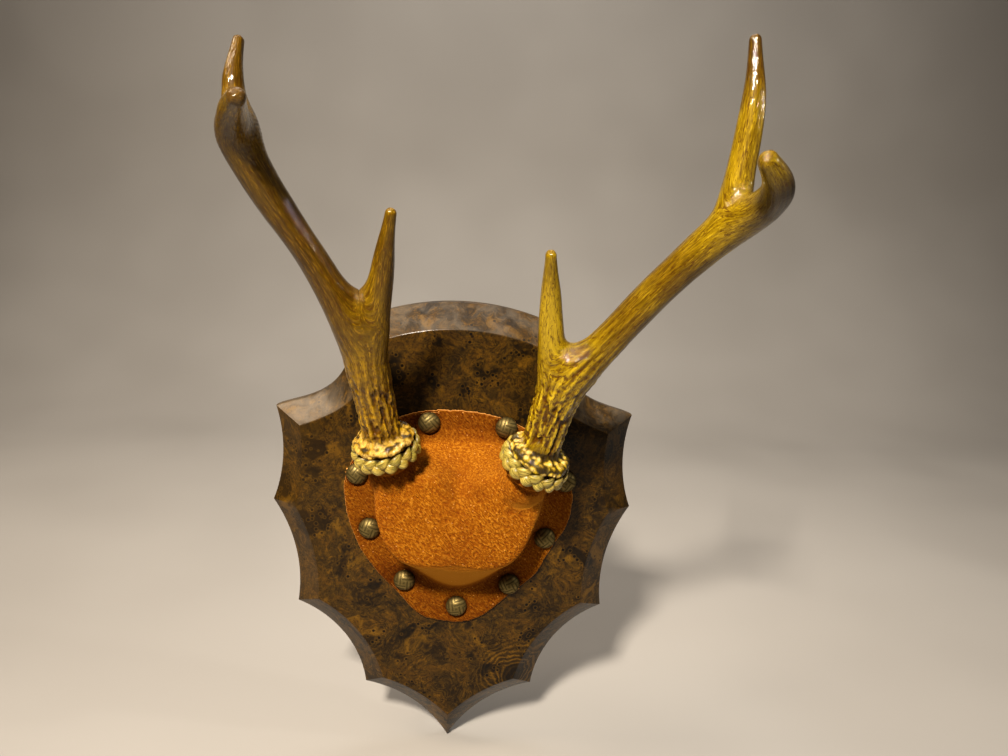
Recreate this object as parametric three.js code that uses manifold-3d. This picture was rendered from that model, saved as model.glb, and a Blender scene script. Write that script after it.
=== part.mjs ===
// Pair of deer antlers mounted on a shield plaque.
//
// Millimetres. +X is to the right as one faces the plaque, +Y runs into the wall and +Z is up.
// The origin is the centre of the plaque's back face, at half its height, so the wall is Y = 0.
// "left" and "right" in names are as seen from the front.

import * as THREE from 'three';
import { mergeVertices } from 'three/addons/utils/BufferGeometryUtils.js';
import Module from 'manifold-3d';

const wasm = await Module();
wasm.setup();

// ---------------------------------------------------------------- driving dimensions

const GAP = 0.3; // clearance between pieces that touch

const BOARD = {
  thickness: 18,
  edge: 5.1, // upright part of the edge, behind the chamfer
  chamferWidth: 13.4,
  tip: [0, -133.5], // lowest point
  crown: 134.1, // highest point
  crownRadius: 133.6,
  crownHalfWidth: 56,
  faceCrownHalfWidth: 43.5,
  // corners of the right side from the bottom up, as [half width, height]
  corners: [[49.7, -97], [89.1, -44.3], [102, 18.4], [99.4, 73.2]],
  hollows: [6.6, 8.8, 5.8, 4.5], // how far each scallop is hollowed, from the tip up
  // the swing from the shoulder up to the crown: its control points, then those on the face
  swing: [[85, 80], [58, 77]],
  faceSwing: [[72, 70.5], [45, 77]],
  faceShoulder: [83.8, 65.4],
  curveSteps: 8,
};

const COVER = {
  centre: [3, 20],
  leather: 1.6, // thickness of the flange
  height: 33, // dome above the plaque
  crowning: 2.2, // how much the top of the dome swells at its middle
  // distances from the centre every 30 degrees, anticlockwise from +X
  rim: [63.4, 64, 59.5, 57, 61, 65, 62.8, 59.4, 62.3, 69.8, 60.5, 57.8],
  foot: [46, 54, 47, 45, 46, 52, 43.5, 43.5, 45.5, 50.5, 45.5, 43.5],
  top: [38, 46, 37, 24, 37, 46, 40.5, 34, 24, 20, 25, 33],
  // the wall as [distance, climb]: distance 2 is the foot and 1 the top, climb 1 the full height
  wall: [[2, 0], [1.8, 0.12], [1.45, 0.52], [1.15, 0.88], [1, 1]],
  cap: [0.7, 0.35, 0], // further distances, in to the middle
  segments: 36,
};

const NAIL = {
  radius: 6,
  height: 4.2,
  places: [
    [-14.3, 69.6], [-53, 39.6], [-46.2, 7.9], [-26.5, -23.1], [3.3, -38.7],
    [33, -24.6], [52, 3.9], [61.8, 37.8], [27.7, 67.9],
  ],
};

const SCREW = { radius: 4.5, length: 4, hole: 4.8, places: [[-26, 34], [32, 34]] };

// keyhole slot for the wall screw: its head enters at the round end and slides up the slot
const HANGER = { height: 88, entryRadius: 5, slotWidth: 5, rise: 16, depth: 9 };

// stations along each antler, as [x, y, z, radius]
const ANTLERS = {
  left: {
    lean: [-12, 17], // of the burr: sideways, and towards the front, in degrees
    burrRadius: 15.6,
    braidRadius: 18.2,
    pedicle: [[-27, -32, 38, 14], [-32, -43, 51, 13.5], [-33.6, -48, 58, 12]],
    beam: [
      [-34.1, -50, 63.9, 10.2], [-37, -55, 79, 9.6], [-41.8, -64, 107.5, 9.7],
      [-49.2, -75, 133.5, 9.3], [-61.7, -85, 159.3, 7], [-79, -96, 187.6, 7],
      [-87, -108, 207, 7.1], [-84.2, -121, 214.5, 5.7], [-77, -140, 219, 3.2],
    ],
    browTine: [
      [-41, -66, 108, 8.6], [-39, -73, 131, 7.6], [-34.2, -82, 154, 5.1], [-28.4, -93.5, 180.8, 1.8],
    ],
    upperTine: [
      [-80.5, -99, 193, 4.5], [-86, -102, 209, 5.3], [-89.9, -99.5, 228, 4.2], [-88.9, -93, 246.6, 2.5],
    ],
    upperBeamFrom: 3.45, // stations counted from the burr
    tipFrom: 6.15,
  },
  right: {
    lean: [24, 16],
    burrRadius: 16.8,
    braidRadius: 18.7,
    pedicle: [[31, -34, 36, 15], [36.5, -47, 49, 14], [39, -54, 56, 12.5]],
    beam: [
      [40, -57, 60.9, 10.6], [44.4, -61, 78, 10], [48.4, -68, 97, 10.6],
      [55.5, -75, 112.5, 10.6], [66, -79.5, 124.5, 7.9], [91.5, -91, 158, 7.6],
      [110.5, -104, 180, 8.2], [118.7, -122, 190.3, 6.9], [116.8, -136, 197.4, 5.8],
      [106.9, -146, 206.6, 3.6],
    ],
    browTine: [
      [48, -67, 98, 9.4], [44.6, -75, 121, 7.6], [41, -84.5, 145, 4.6], [38.5, -96.5, 168, 1.9],
    ],
    upperTine: [
      [110, -103, 184, 7], [113.9, -104, 209.5, 5.7], [115.8, -103, 232, 4.6], [114.8, -100, 256, 2.3],
    ],
    upperBeamFrom: 3.6,
    tipFrom: 6.35,
  },
};

const BURR = {
  foot: 11.2, // radius where it sits on the leather
  // distances up the axis: its foot, where it starts to flare, the ring of pearls, the collar above
  heights: { foot: 1, flare: 4.4, under: 5.6, widest: 7.2, over: 9, collar: 11.6 },
  pearls: 11,
  pearlDepth: 0.05,
};
const BRAID = { radial: 2.9, axial: 4.2, lobes: 11, relief: 0.1, shift: 0.3 };
const NECK_LENGTH = 9; // of leather below the braid

const COLOURS = {
  wood: { color: '#4a2b1a', roughness: 0.4, metalness: 0 },
  leather: { color: '#b8621f', roughness: 0.95, metalness: 0 },
  brass: { color: '#6e6844', roughness: 0.45, metalness: 0.9 },
  steel: { color: '#8b8d8f', roughness: 0.4, metalness: 1 },
  antler: { color: '#a1761f', roughness: 0.25, metalness: 0 },
  straw: { color: '#cbb872', roughness: 0.45, metalness: 0 },
};

// ---------------------------------------------------------------- tools

/** A closed geometry as a solid that can be joined and cut. */
function solidFrom(geometry) {
  const bare = geometry.clone();
  bare.deleteAttribute('normal');
  bare.deleteAttribute('uv');
  const merged = mergeVertices(bare, 1e-4);
  return new wasm.Manifold(new wasm.Mesh({
    numProp: 3,
    vertProperties: new Float32Array(merged.attributes.position.array),
    triVerts: new Uint32Array(merged.index.array),
  }));
}

/** A solid as a geometry that a mesh can hold. */
function geometryFrom(solid) {
  const { vertProperties, triVerts } = solid.getMesh();
  const geometry = new THREE.BufferGeometry();
  geometry.setAttribute('position', new THREE.BufferAttribute(vertProperties, 3));
  geometry.setIndex(new THREE.BufferAttribute(triVerts, 1));
  geometry.computeVertexNormals();
  return geometry;
}

/** Moves every vertex of a geometry through place(vertex), which changes it. */
function reshape(geometry, place) {
  const positions = geometry.attributes.position;
  const vertex = new THREE.Vector3();
  for (let i = 0; i < positions.count; i++) {
    vertex.fromBufferAttribute(positions, i);
    place(vertex);
    positions.setXYZ(i, vertex.x, vertex.y, vertex.z);
  }
  return geometry;
}

/** A closed body turned about Y from a profile of [radius, height], listed from the bottom up. */
function turned(profile, segments) {
  return new THREE.LatheGeometry(profile.map(([r, y]) => new THREE.Vector2(r, y)), segments);
}

/** A value round a closed outline, from values at even steps of angle. */
function around(values, angle) {
  const turn = THREE.MathUtils.euclideanModulo(angle / (2 * Math.PI), 1) * values.length;
  const i = Math.floor(turn);
  const at = (k) => values[THREE.MathUtils.euclideanModulo(i + k, values.length)];
  const ends = [-1, 0, 1, 2].map((k) => new THREE.Vector2(k, at(k)));
  return new THREE.SplineCurve(ends).getPoint((1 + turn - i) / 3).y;
}

const part = new THREE.Group();

/** Adds one named piece with a material of its own. */
function addPiece(name, geometry, finish, parent = part) {
  const mesh = new THREE.Mesh(geometry, new THREE.MeshStandardMaterial(finish));
  mesh.name = name;
  parent.add(mesh);
  return mesh;
}

// ---------------------------------------------------------------- plaque

/** The circle of a scallop hollowed into the straight line between two corners. */
function scallopCircle(from, to, hollow) {
  const half = from.distanceTo(to) / 2;
  const radius = (half * half + hollow * hollow) / (2 * hollow);
  const outward = new THREE.Vector2(to.y - from.y, from.x - to.x).normalize();
  const centre = from.clone().add(to).multiplyScalar(0.5).addScaledVector(outward, radius - hollow);
  return { centre, radius };
}

/** Where two circles meet, at the place nearer to a point. */
function meeting(a, b, near) {
  const line = b.centre.clone().sub(a.centre);
  const distance = line.length();
  const along = (a.radius ** 2 - b.radius ** 2 + distance ** 2) / (2 * distance);
  const off = Math.sqrt(a.radius ** 2 - along ** 2);
  const foot = a.centre.clone().addScaledVector(line, along / distance);
  const aside = new THREE.Vector2(-line.y, line.x).setLength(off);
  const [first, second] = [foot.clone().add(aside), foot.clone().sub(aside)];
  return first.distanceTo(near) < second.distanceTo(near) ? first : second;
}

/** The shield's outline, anticlockwise from its tip, taken in by inset all round. */
function shieldOutline(inset) {
  const { tip, corners, hollows, curveSteps: steps } = BOARD;
  const stops = [tip, ...corners].map(([x, z]) => new THREE.Vector2(x, z));
  const circles = hollows.map((hollow, i) => scallopCircle(stops[i], stops[i + 1], hollow));
  for (const circle of circles) circle.radius += inset;
  const [first] = circles;
  const mirrored = { centre: new THREE.Vector2(-first.centre.x, first.centre.y), radius: first.radius };
  const ends = stops.map((stop, i) => {
    if (i === corners.length) return inset ? new THREE.Vector2(...BOARD.faceShoulder) : stop;
    return meeting(i ? circles[i - 1] : mirrored, circles[i], stop);
  });

  const radius = BOARD.crownRadius - inset;
  const halfWidth = inset ? BOARD.faceCrownHalfWidth : BOARD.crownHalfWidth;
  const crownCentre = BOARD.crown - BOARD.crownRadius;
  const crownArc = new THREE.ArcCurve(
    0, crownCentre, radius, Math.acos(halfWidth / radius), Math.PI / 2, false);
  const [low, high] = (inset ? BOARD.faceSwing : BOARD.swing).map((p) => new THREE.Vector2(...p));
  const shoulder = new THREE.CubicBezierCurve(ends.at(-1), low, high, crownArc.getPoint(0));
  const scallops = circles.map(({ centre, radius: bend }, i) => {
    const [from, to] = [ends[i], ends[i + 1]].map((p) => Math.atan2(p.y - centre.y, p.x - centre.x));
    return new THREE.ArcCurve(centre.x, centre.y, bend, from, to, true);
  });
  const rightSide = [...scallops, shoulder, crownArc].flatMap((curve) => curve.getPoints(steps).slice(0, -1));
  const leftSide = rightSide.slice(1).reverse().map((p) => new THREE.Vector2(-p.x, p.y));
  return [...rightSide, crownArc.getPoint(1), ...leftSide];
}

/** A solid standing along Y, from y to y + length, placed at [x, z]. */
function along(geometry, [x, z], y, length) {
  return solidFrom(geometry.translate(x, y + length / 2, z));
}

function makeBoard() {
  const [outline, face] = [shieldOutline(0), shieldOutline(BOARD.chamferWidth)];
  const plank = new THREE.ExtrudeGeometry(new THREE.Shape(outline), {
    depth: BOARD.thickness,
    steps: 2,
    bevelEnabled: false,
  });
  // the middle layer goes back to where the chamfer starts, the front one in to the face
  reshape(plank, (v) => {
    const layer = Math.round((2 * v.z) / BOARD.thickness);
    if (layer === 1) v.z = BOARD.edge;
    if (layer === 2) {
      const i = outline.findIndex((p) => Math.hypot(p.x - v.x, p.y - v.y) < 0.01);
      v.set(face[i].x, face[i].y, v.z);
    }
  });
  let board = solidFrom(plank.rotateX(Math.PI / 2));

  // cutters stand this far out of the back
  const proud = 1;
  const cut = (geometry, place, depth) => {
    board = board.subtract(along(geometry, place, -depth, depth + proud));
  };
  const { height, entryRadius, slotWidth, rise, depth } = HANGER;
  cut(new THREE.CylinderGeometry(entryRadius, entryRadius, depth + proud, 24), [0, height], depth);
  cut(new THREE.BoxGeometry(slotWidth, depth + proud, rise), [0, height + rise / 2], depth);
  for (const place of SCREW.places) {
    const sunk = SCREW.length + GAP;
    cut(new THREE.CylinderGeometry(SCREW.hole, SCREW.hole, sunk + proud, 20), place, sunk);
  }
  addPiece('board', geometryFrom(board), COLOURS.wood);
}

function makeScrews() {
  SCREW.places.forEach(([x, z], i) => {
    const head = new THREE.CylinderGeometry(SCREW.radius, SCREW.radius, SCREW.length - GAP, 20);
    const screw = addPiece(`back_screw_${i + 1}`, head, COLOURS.steel);
    screw.position.set(x, -GAP - (SCREW.length - GAP) / 2, z);
  });
}

// ---------------------------------------------------------------- antler frames

/** The group of one burr: its +Z runs up the antler from where the braid sits. */
function burrFrame({ beam: [[x, y, z]], lean: [sideways, forward] }) {
  const side = THREE.MathUtils.degToRad(sideways);
  const front = THREE.MathUtils.degToRad(forward);
  const axis = new THREE.Vector3(
    Math.sin(side) * Math.cos(front), -Math.sin(front), Math.cos(side) * Math.cos(front));
  const turn = new THREE.Quaternion().setFromUnitVectors(new THREE.Vector3(0, 0, 1), axis);
  return new THREE.Matrix4().compose(new THREE.Vector3(x, y, z), turn, new THREE.Vector3(1, 1, 1));
}

/** A body turned about the burr's axis, from a profile of [radius, distance up the axis]. */
function turnedOnBurr(antler, profile, segments) {
  return turned(profile, segments).rotateX(Math.PI / 2).applyMatrix4(burrFrame(antler));
}

/** The braid's ring, with its two rows of lobes. */
function braidRing(antler) {
  const { radial, axial, lobes, relief, shift } = BRAID;
  const mid = antler.braidRadius - radial;
  const ring = new THREE.TorusGeometry(mid, radial, 8, 4 * lobes);
  reshape(ring, (v) => {
    const angle = Math.atan2(v.y, v.x);
    const bulge = 1 + (relief * Math.cos(lobes * angle) * v.z) / radial;
    const reach = mid + (Math.hypot(v.x, v.y) - mid) * bulge;
    v.set(Math.cos(angle) * reach, Math.sin(angle) * reach, v.z * (axial / radial) * bulge + shift);
  });
  return ring.applyMatrix4(burrFrame(antler));
}

/** The groove that the braid presses into the leather. */
function braidGroove(antler) {
  const [radial, axial] = [BRAID.radial, BRAID.axial].map((half) => half * (1 + BRAID.relief) + GAP);
  const ring = new THREE.TorusGeometry(antler.braidRadius - BRAID.radial, radial, 8, 20);
  return ring.scale(1, 1, axial / radial).translate(0, 0, BRAID.shift).applyMatrix4(burrFrame(antler));
}

// ---------------------------------------------------------------- leather cover

/** The domed cover before the pedicles are added: a turned cap pulled out to its outlines. */
function makeDome() {
  const { leather, height, crowning, segments, centre: [cx, cz] } = COVER;
  // a whole distance from the middle is an outline: 1 the top of the dome, 2 its foot, 3 the rim
  const wall = COVER.wall.map(([ring, climb]) => [ring, leather + (height - leather) * climb]);
  const cap = COVER.cap.map((ring) => [ring, height + crowning * (1 - ring * ring)]);
  const dome = turned([[0, GAP], [3, GAP], [3, leather], ...wall, ...cap], segments);
  reshape(dome, (v) => {
    const ring = Math.hypot(v.x, v.z);
    const angle = Math.atan2(-v.z, v.x);
    const reaches = [0, around(COVER.top, angle), around(COVER.foot, angle), around(COVER.rim, angle)];
    const inner = Math.min(Math.floor(ring + 1e-6), 2);
    const reach = THREE.MathUtils.lerp(reaches[inner], reaches[inner + 1], ring - inner);
    v.set(cx + Math.cos(angle) * reach, -BOARD.thickness - v.y, cz + Math.sin(angle) * reach);
  });
  return solidFrom(dome);
}

function makeCover() {
  let cover = makeDome();
  for (const antler of Object.values(ANTLERS)) {
    const radius = antler.braidRadius - 2 * BRAID.radial;
    const top = BURR.heights.foot - GAP;
    const profile = [[0, -NECK_LENGTH], [radius, -NECK_LENGTH], [radius, top], [0, top]];
    const neck = turnedOnBurr(antler, profile, 20);
    const root = pathOf(antler.pedicle);
    cover = cover.add(bentTaper(root, 0, root.count, { sides: 16, rings: 4 })).add(solidFrom(neck));
    cover = cover.subtract(solidFrom(braidGroove(antler)));
  }
  addPiece('leather_cover', geometryFrom(cover), COLOURS.leather);
}

function makeNails() {
  const steps = 3;
  const dome = Array.from({ length: steps + 1 }, (_, i) => {
    const climb = (i / steps) * (Math.PI / 2);
    return [NAIL.radius * Math.cos(climb), NAIL.height * Math.sin(climb)];
  });
  const profile = [[0, 0], ...dome.slice(0, steps), [0, NAIL.height]];
  NAIL.places.forEach(([x, z], i) => {
    const nail = addPiece(`nail_${i + 1}`, turned(profile, 14), COLOURS.brass);
    nail.rotation.x = Math.PI;
    nail.position.set(x, -BOARD.thickness - COVER.leather - GAP, z);
  });
}

// ---------------------------------------------------------------- antlers

/** The curve through a run of stations, with the radius along it. */
function pathOf(stations) {
  const curve = new THREE.CatmullRomCurve3(stations.map(([x, y, z]) => new THREE.Vector3(x, y, z)));
  const radii = new THREE.SplineCurve(stations.map(([, , , r], i) => new THREE.Vector2(i, r)));
  return { curve, radii, count: stations.length - 1 };
}

/** A taper turned from the radii of a path, then bent along it, between two stations. */
function bentTaper(path, from, to, { sides, rings, grow = 0, blunt = false }) {
  const { curve, radii, count } = path;
  const end = radii.getPoint(to / count).y + grow;
  const bodyEnd = blunt ? stepPast(path, to, -end) : to;
  const rounds = Array.from({ length: rings + 1 }, (_, i) => {
    const t = THREE.MathUtils.lerp(from, bodyEnd, i / rings) / count;
    return [radii.getPoint(t).y + grow, t];
  });
  // a blunt end is rounded off like the end of a finger
  for (const lift of blunt ? [0.5, 0.87] : []) {
    const t = THREE.MathUtils.lerp(bodyEnd, to, lift) / count;
    rounds.push([rounds[rings][0] * Math.sqrt(1 - lift * lift), t]);
  }
  const body = turned([[0, from / count], ...rounds, [0, to / count]], sides);
  const sideways = new THREE.Vector3(1, 0, 0);
  reshape(body, (v) => {
    const { x, y: t, z } = v;
    const tangent = curve.getTangent(t);
    const across = sideways.clone().addScaledVector(tangent, -sideways.dot(tangent)).normalize();
    const through = new THREE.Vector3().crossVectors(across, tangent);
    v.copy(curve.getPoint(t)).addScaledVector(across, x).addScaledVector(through, z);
  });
  return solidFrom(body);
}

/** The station that lies a gap further along a path, or back along it. */
function stepPast({ curve, count }, station, gap) {
  const step = 0.01 * Math.sign(gap);
  const run = curve.getPoint(station / count).distanceTo(curve.getPoint((station + step) / count));
  return station + (step * Math.abs(gap)) / run;
}

/** The burr: a disc with a ring of pearls round its edge. */
function makeBurr(antler) {
  const { burrRadius: edge, beam: [[, , , neck]] } = antler;
  const { foot, heights: at, pearls, pearlDepth } = BURR;
  const profile = [
    [0, at.foot], [foot, at.foot], [foot + 0.6, at.flare], [edge - 1, at.under],
    [edge, at.widest], [edge - 1.2, at.over], [neck + 0.6, at.collar], [0, at.collar],
  ];
  const burr = turned(profile, 3 * pearls);
  reshape(burr, (v) => {
    const swell = v.y > at.flare + GAP ? 1 + pearlDepth * Math.cos(pearls * Math.atan2(v.z, v.x)) : 1;
    v.set(v.x * swell, v.y, v.z * swell);
  });
  return solidFrom(burr.rotateX(Math.PI / 2).applyMatrix4(burrFrame(antler)));
}

function makeAntler(side, antler) {
  const beam = pathOf(antler.beam);
  const { upperBeamFrom, tipFrom } = antler;
  const thick = { sides: 14, rings: 10 };
  const slim = { sides: 12, rings: 7, blunt: true };
  const clearance = bentTaper(beam, 0.5, beam.count, { sides: 14, rings: 3 * beam.count, grow: GAP });

  const pieces = {
    base: bentTaper(beam, 0.25, upperBeamFrom, thick).add(makeBurr(antler)),
    upper_beam: bentTaper(beam, stepPast(beam, upperBeamFrom, GAP), tipFrom, thick),
    beam_tip: bentTaper(beam, stepPast(beam, tipFrom, GAP), beam.count, slim),
  };
  for (const [name, stations] of [['brow_tine', antler.browTine], ['upper_tine', antler.upperTine]]) {
    const path = pathOf(stations);
    pieces[name] = bentTaper(path, 0, path.count, slim).subtract(clearance);
  }
  for (const [name, solid] of Object.entries(pieces)) {
    addPiece(`antler_${side}_${name}`, geometryFrom(solid), COLOURS.antler);
  }
  addPiece(`braid_${side}`, braidRing(antler), COLOURS.straw);
}

makeBoard();
makeScrews();
makeCover();
makeNails();
for (const [side, antler] of Object.entries(ANTLERS)) makeAntler(side, antler);

export default part;
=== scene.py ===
"""Young deer antlers on a suede-covered skull plate and a burl walnut shield, built round its frame."""

import logging
import math
from dataclasses import dataclass, field
from enum import Enum
from typing import Any, Callable

import bmesh
import bpy
import numpy as np
from mathutils import Matrix, Vector, noise


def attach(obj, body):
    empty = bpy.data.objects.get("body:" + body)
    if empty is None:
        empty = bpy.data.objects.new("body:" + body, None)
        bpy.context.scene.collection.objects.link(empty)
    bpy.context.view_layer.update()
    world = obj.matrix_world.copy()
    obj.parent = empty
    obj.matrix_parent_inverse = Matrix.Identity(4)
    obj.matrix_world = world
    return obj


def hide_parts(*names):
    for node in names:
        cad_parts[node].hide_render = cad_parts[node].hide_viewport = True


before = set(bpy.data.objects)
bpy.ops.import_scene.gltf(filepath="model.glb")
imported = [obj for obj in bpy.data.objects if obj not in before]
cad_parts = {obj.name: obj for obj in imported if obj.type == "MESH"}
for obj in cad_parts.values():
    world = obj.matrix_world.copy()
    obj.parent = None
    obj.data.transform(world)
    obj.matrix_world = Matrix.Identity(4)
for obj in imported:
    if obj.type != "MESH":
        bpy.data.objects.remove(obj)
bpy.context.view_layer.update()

MM = 0.001
FRONT = -18.0  # the board's face, in mm; every size below is in mm too
SUEDE_TOP = FRONT - 1.6
Shape = tuple[np.ndarray, list[tuple[int, ...]]]

log = logging.getLogger("deer_mount")


class Side(Enum):
    """The two antlers, as seen from the front."""

    LEFT = "left"
    RIGHT = "right"


class Mixing(Enum):
    """How one colour is laid over another."""

    COVER = "MIX"
    STAIN = "MULTIPLY"


class Kind(Enum):
    """What a patch on an antler changes; the mesh carries it to the material under this name."""

    CALM = "calm"
    PALE = "pale_patch"
    DARK = "dark_patch"
    GREY = "grey_patch"


# ---------------------------------------------------------------- node helpers


def linear(code: str) -> tuple[float, float, float, float]:
    """Turns an sRGB colour into a linear one.

    Args:
        code: The colour as six hex digits.

    Returns:
        Linear red, green, blue and an alpha of 1.
    """
    parts = [int(code[i : i + 2], 16) / 255 for i in (0, 2, 4)]
    red, green, blue = (c / 12.92 if c <= 0.04045 else ((c + 0.055) / 1.055) ** 2.4 for c in parts)
    return red, green, blue, 1.0


def add_node(tree: bpy.types.NodeTree, kind: str, result: int | str = 0, **settings: Any) -> Any:
    """Adds a node with its settings and links.

    Args:
        tree: The node tree it goes in.
        kind: The node's type, without the ShaderNode in front.
        result: Which output to give back.
        **settings: Lower-case names are the node's own properties, names with a capital are inputs, _0, _1
            and so on are inputs by number, and stops are a colour ramp's places with their colours. A value
            is set, and an output is linked.

    Returns:
        The chosen output, or the node itself where result is "node".
    """
    node = tree.nodes.new("ShaderNode" + kind)
    for name, value in settings.items():
        if name == "stops":
            ramp = node.color_ramp
            while len(ramp.elements) < len(value):
                ramp.elements.new(1.0)
            for element, (place, colour) in zip(ramp.elements, value):
                element.position = place
                element.color = linear(colour)
            continue
        if name[0] != "_" and name[0].islower():
            setattr(node, name, value)
            continue
        socket = node.inputs[int(name[1:])] if name[0] == "_" else node.inputs[name.replace("_", " ")]
        if isinstance(value, bpy.types.NodeSocket):
            tree.links.new(value, socket)
        else:
            socket.default_value = value
    return node if result == "node" else node.outputs[result]


@dataclass(frozen=True)
class Band:
    """Where a figure lies between two values, brought softly to start to end.

    Attributes:
        figure: An output, or the name of something that the mesh carries.
        low: The value that gives start.
        high: The value that gives end, which may be the lower of the two.
        start: What low gives.
        end: What high gives.
    """

    figure: Any
    low: float
    high: float
    start: float = 0.0
    end: float = 1.0


class Painter:
    """A new material, and the chains of nodes that every finish here is mixed from."""

    def __init__(self, name: str, **shader: Any) -> None:
        """Makes the material.

        Args:
            name: The material's name.
            **shader: Inputs of the shader that are the same all over.
        """
        self.material = bpy.data.materials.new(name)
        self.material.use_nodes = True
        self.tree = self.material.node_tree
        self.tree.nodes.clear()
        self.shader = self.put("BsdfPrincipled", "node", **shader)
        self.put("OutputMaterial", "node", Surface=self.shader.outputs[0])

    def put(self, kind: str, result: int | str = 0, **settings: Any) -> Any:
        """Adds a node to this material."""
        return add_node(self.tree, kind, result, **settings)

    def wire(self, **inputs: Any) -> None:
        """Links outputs to the shader's inputs."""
        for name, output in inputs.items():
            self.tree.links.new(output, self.shader.inputs[name.replace("_", " ")])

    def place(self) -> Any:
        """The point on the object, in mm."""
        where = self.put("TexCoord", "Object")
        return self.put("VectorMath", operation="MULTIPLY", _0=where, _1=(1 / MM,) * 3)

    def read(self, factor: Any) -> Any:
        """Turns a factor into something that a node takes.

        Args:
            factor: A number, an output, the name of something that the mesh carries, or a Band.

        Returns:
            The number, or an output.
        """
        if isinstance(factor, str):
            return self.put("Attribute", "Fac", attribute_name=factor)
        if isinstance(factor, Band):
            ends = {"_1": factor.low, "_2": factor.high, "_3": factor.start, "_4": factor.end}
            return self.put("MapRange", interpolation_type="SMOOTHSTEP", _0=self.read(factor.figure), **ends)
        return factor

    def amount(self, *factors: Any) -> Any:
        """Multiplies several factors.

        Args:
            *factors: The factors, each as read() takes it.

        Returns:
            Their product.
        """
        made = self.read(factors[0])
        for factor in factors[1:]:
            made = self.put("Math", operation="MULTIPLY", _0=made, _1=self.read(factor))
        return made

    def lay(self, under: Any, over: Any, *factors: Any, how: Mixing = Mixing.COVER) -> Any:
        """Lays one colour over another.

        Args:
            under: The lower colour, as an output or hex digits.
            over: The upper colour, as an output or hex digits.
            *factors: What the upper one's strength is multiplied from.
            how: The way of mixing.

        Returns:
            The mixed colour.
        """
        lower, upper = (linear(c) if isinstance(c, str) else c for c in (under, over))
        shows = self.amount(*factors)
        return self.put("Mix", 2, data_type="RGBA", blend_type=how.value, _0=shows, _6=lower, _7=upper)

    def relief(self, *layers: tuple[Any, float]) -> Any:
        """Stacks bumps from the lowest up.

        Args:
            *layers: Each bump's height and its depth in mm, the lowest first.

        Returns:
            The normal.
        """
        under = {}
        for height, depth in layers:
            bump = self.put("Bump", Strength=1.0, Distance=depth * MM, Height=height, **under)
            under = {"Normal": bump}
        return bump


# ---------------------------------------------------------------- mesh helpers


def smooth_step(value: np.ndarray | float, low: float, high: float) -> np.ndarray:
    """Rises softly from 0 at low to 1 at high."""
    t = np.clip((np.asarray(value, float) - low) / (high - low), 0, 1)
    return t * t * (3 - 2 * t)


def noise_at(points: np.ndarray, seed: float = 0) -> np.ndarray:
    """Gradient noise at each point, about -1 to 1."""
    shift = Vector((seed, 1.7 * seed, -seed))
    return np.array([noise.noise(Vector(p) + shift) for p in points.tolist()])


def around(count: int) -> np.ndarray:
    """Angles once round, evenly spaced."""
    return np.linspace(0, 2 * math.pi, count + 1)[:-1]


def unit(ways: np.ndarray) -> np.ndarray:
    """The same directions, each 1 long."""
    return ways / np.maximum(np.linalg.norm(ways, axis=1, keepdims=True), 1e-6)


def level_ring(angle: np.ndarray, reach: Any, up: Any) -> np.ndarray:
    """Points round the third axis, at one height or at one each."""
    return np.stack([reach * np.cos(angle), reach * np.sin(angle), np.broadcast_to(up, len(angle))], 1)


def wall_ring(angle: np.ndarray, reach: Any, middle: tuple[float, float], depth: Any) -> np.ndarray:
    """Points round an axis that stands square to the board, at one depth or at one each.

    Args:
        angle: Where each point is round the axis.
        reach: How far from it.
        middle: The axis, as x and z.
        depth: How deep, as y.

    Returns:
        The points.
    """
    x, z = middle
    across, up = x + reach * np.cos(angle), z + reach * np.sin(angle)
    return np.stack([across, np.broadcast_to(depth, len(angle)), up], 1)


def make_object(name: str, shape: Shape, material: bpy.types.Material | None = None) -> bpy.types.Object:
    """Makes a smooth-shaded object.

    Args:
        name: Its name.
        shape: Points in mm, and faces.
        material: What it is made of.

    Returns:
        The object, in the scene.
    """
    mesh = bpy.data.meshes.new(name)
    mesh.from_pydata((shape[0] * MM).tolist(), [], shape[1])
    mesh.shade_smooth()
    made = bpy.data.objects.new(name, mesh)
    bpy.context.scene.collection.objects.link(made)
    if material:
        mesh.materials.append(material)
    return made


def settle(piece: bpy.types.Object) -> bpy.types.Object:
    """Applies the piece's modifiers to its mesh.

    Args:
        piece: The piece.

    Returns:
        The same piece.
    """
    graph = bpy.context.evaluated_depsgraph_get()
    mesh = bpy.data.meshes.new_from_object(piece.evaluated_get(graph))
    piece.modifiers.clear()
    piece.data = mesh
    mesh.shade_smooth()
    return piece


def face_outward(piece: bpy.types.Object) -> None:
    """Turns all the piece's faces outward.

    Args:
        piece: The piece.
    """
    work = bmesh.new()
    work.from_mesh(piece.data)
    bmesh.ops.recalc_face_normals(work, faces=work.faces)
    work.to_mesh(piece.data)
    work.free()


def carve(piece: bpy.types.Object, tools: list[bpy.types.Object], sharp: float) -> None:
    """Cuts a piece out with tools, which are used up.

    Args:
        piece: The piece.
        tools: What is cut away.
        sharp: Edges that bend more than this many degrees are shown sharp.
    """
    for each in (piece, *tools):
        face_outward(each)
    for tool in tools:
        cut = piece.modifiers.new("cut", "BOOLEAN")
        cut.operation, cut.solver, cut.object = "DIFFERENCE", "EXACT", tool
    settle(piece)
    for tool in tools:
        bpy.data.objects.remove(tool)
    piece.data.set_sharp_from_angle(angle=math.radians(sharp))


def points_of(piece: bpy.types.Object) -> np.ndarray:
    """The piece's points in mm.

    Args:
        piece: The piece.

    Returns:
        Its points.
    """
    flat = np.empty(3 * len(piece.data.vertices), np.float32)
    piece.data.vertices.foreach_get("co", flat)
    return flat.reshape(-1, 3).astype(float) / MM


def move_points(piece: bpy.types.Object, points: np.ndarray) -> None:
    """Puts the piece's points at these places, in mm."""
    piece.data.vertices.foreach_set("co", (points * MM).astype(np.float32).ravel())
    piece.data.update()


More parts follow.
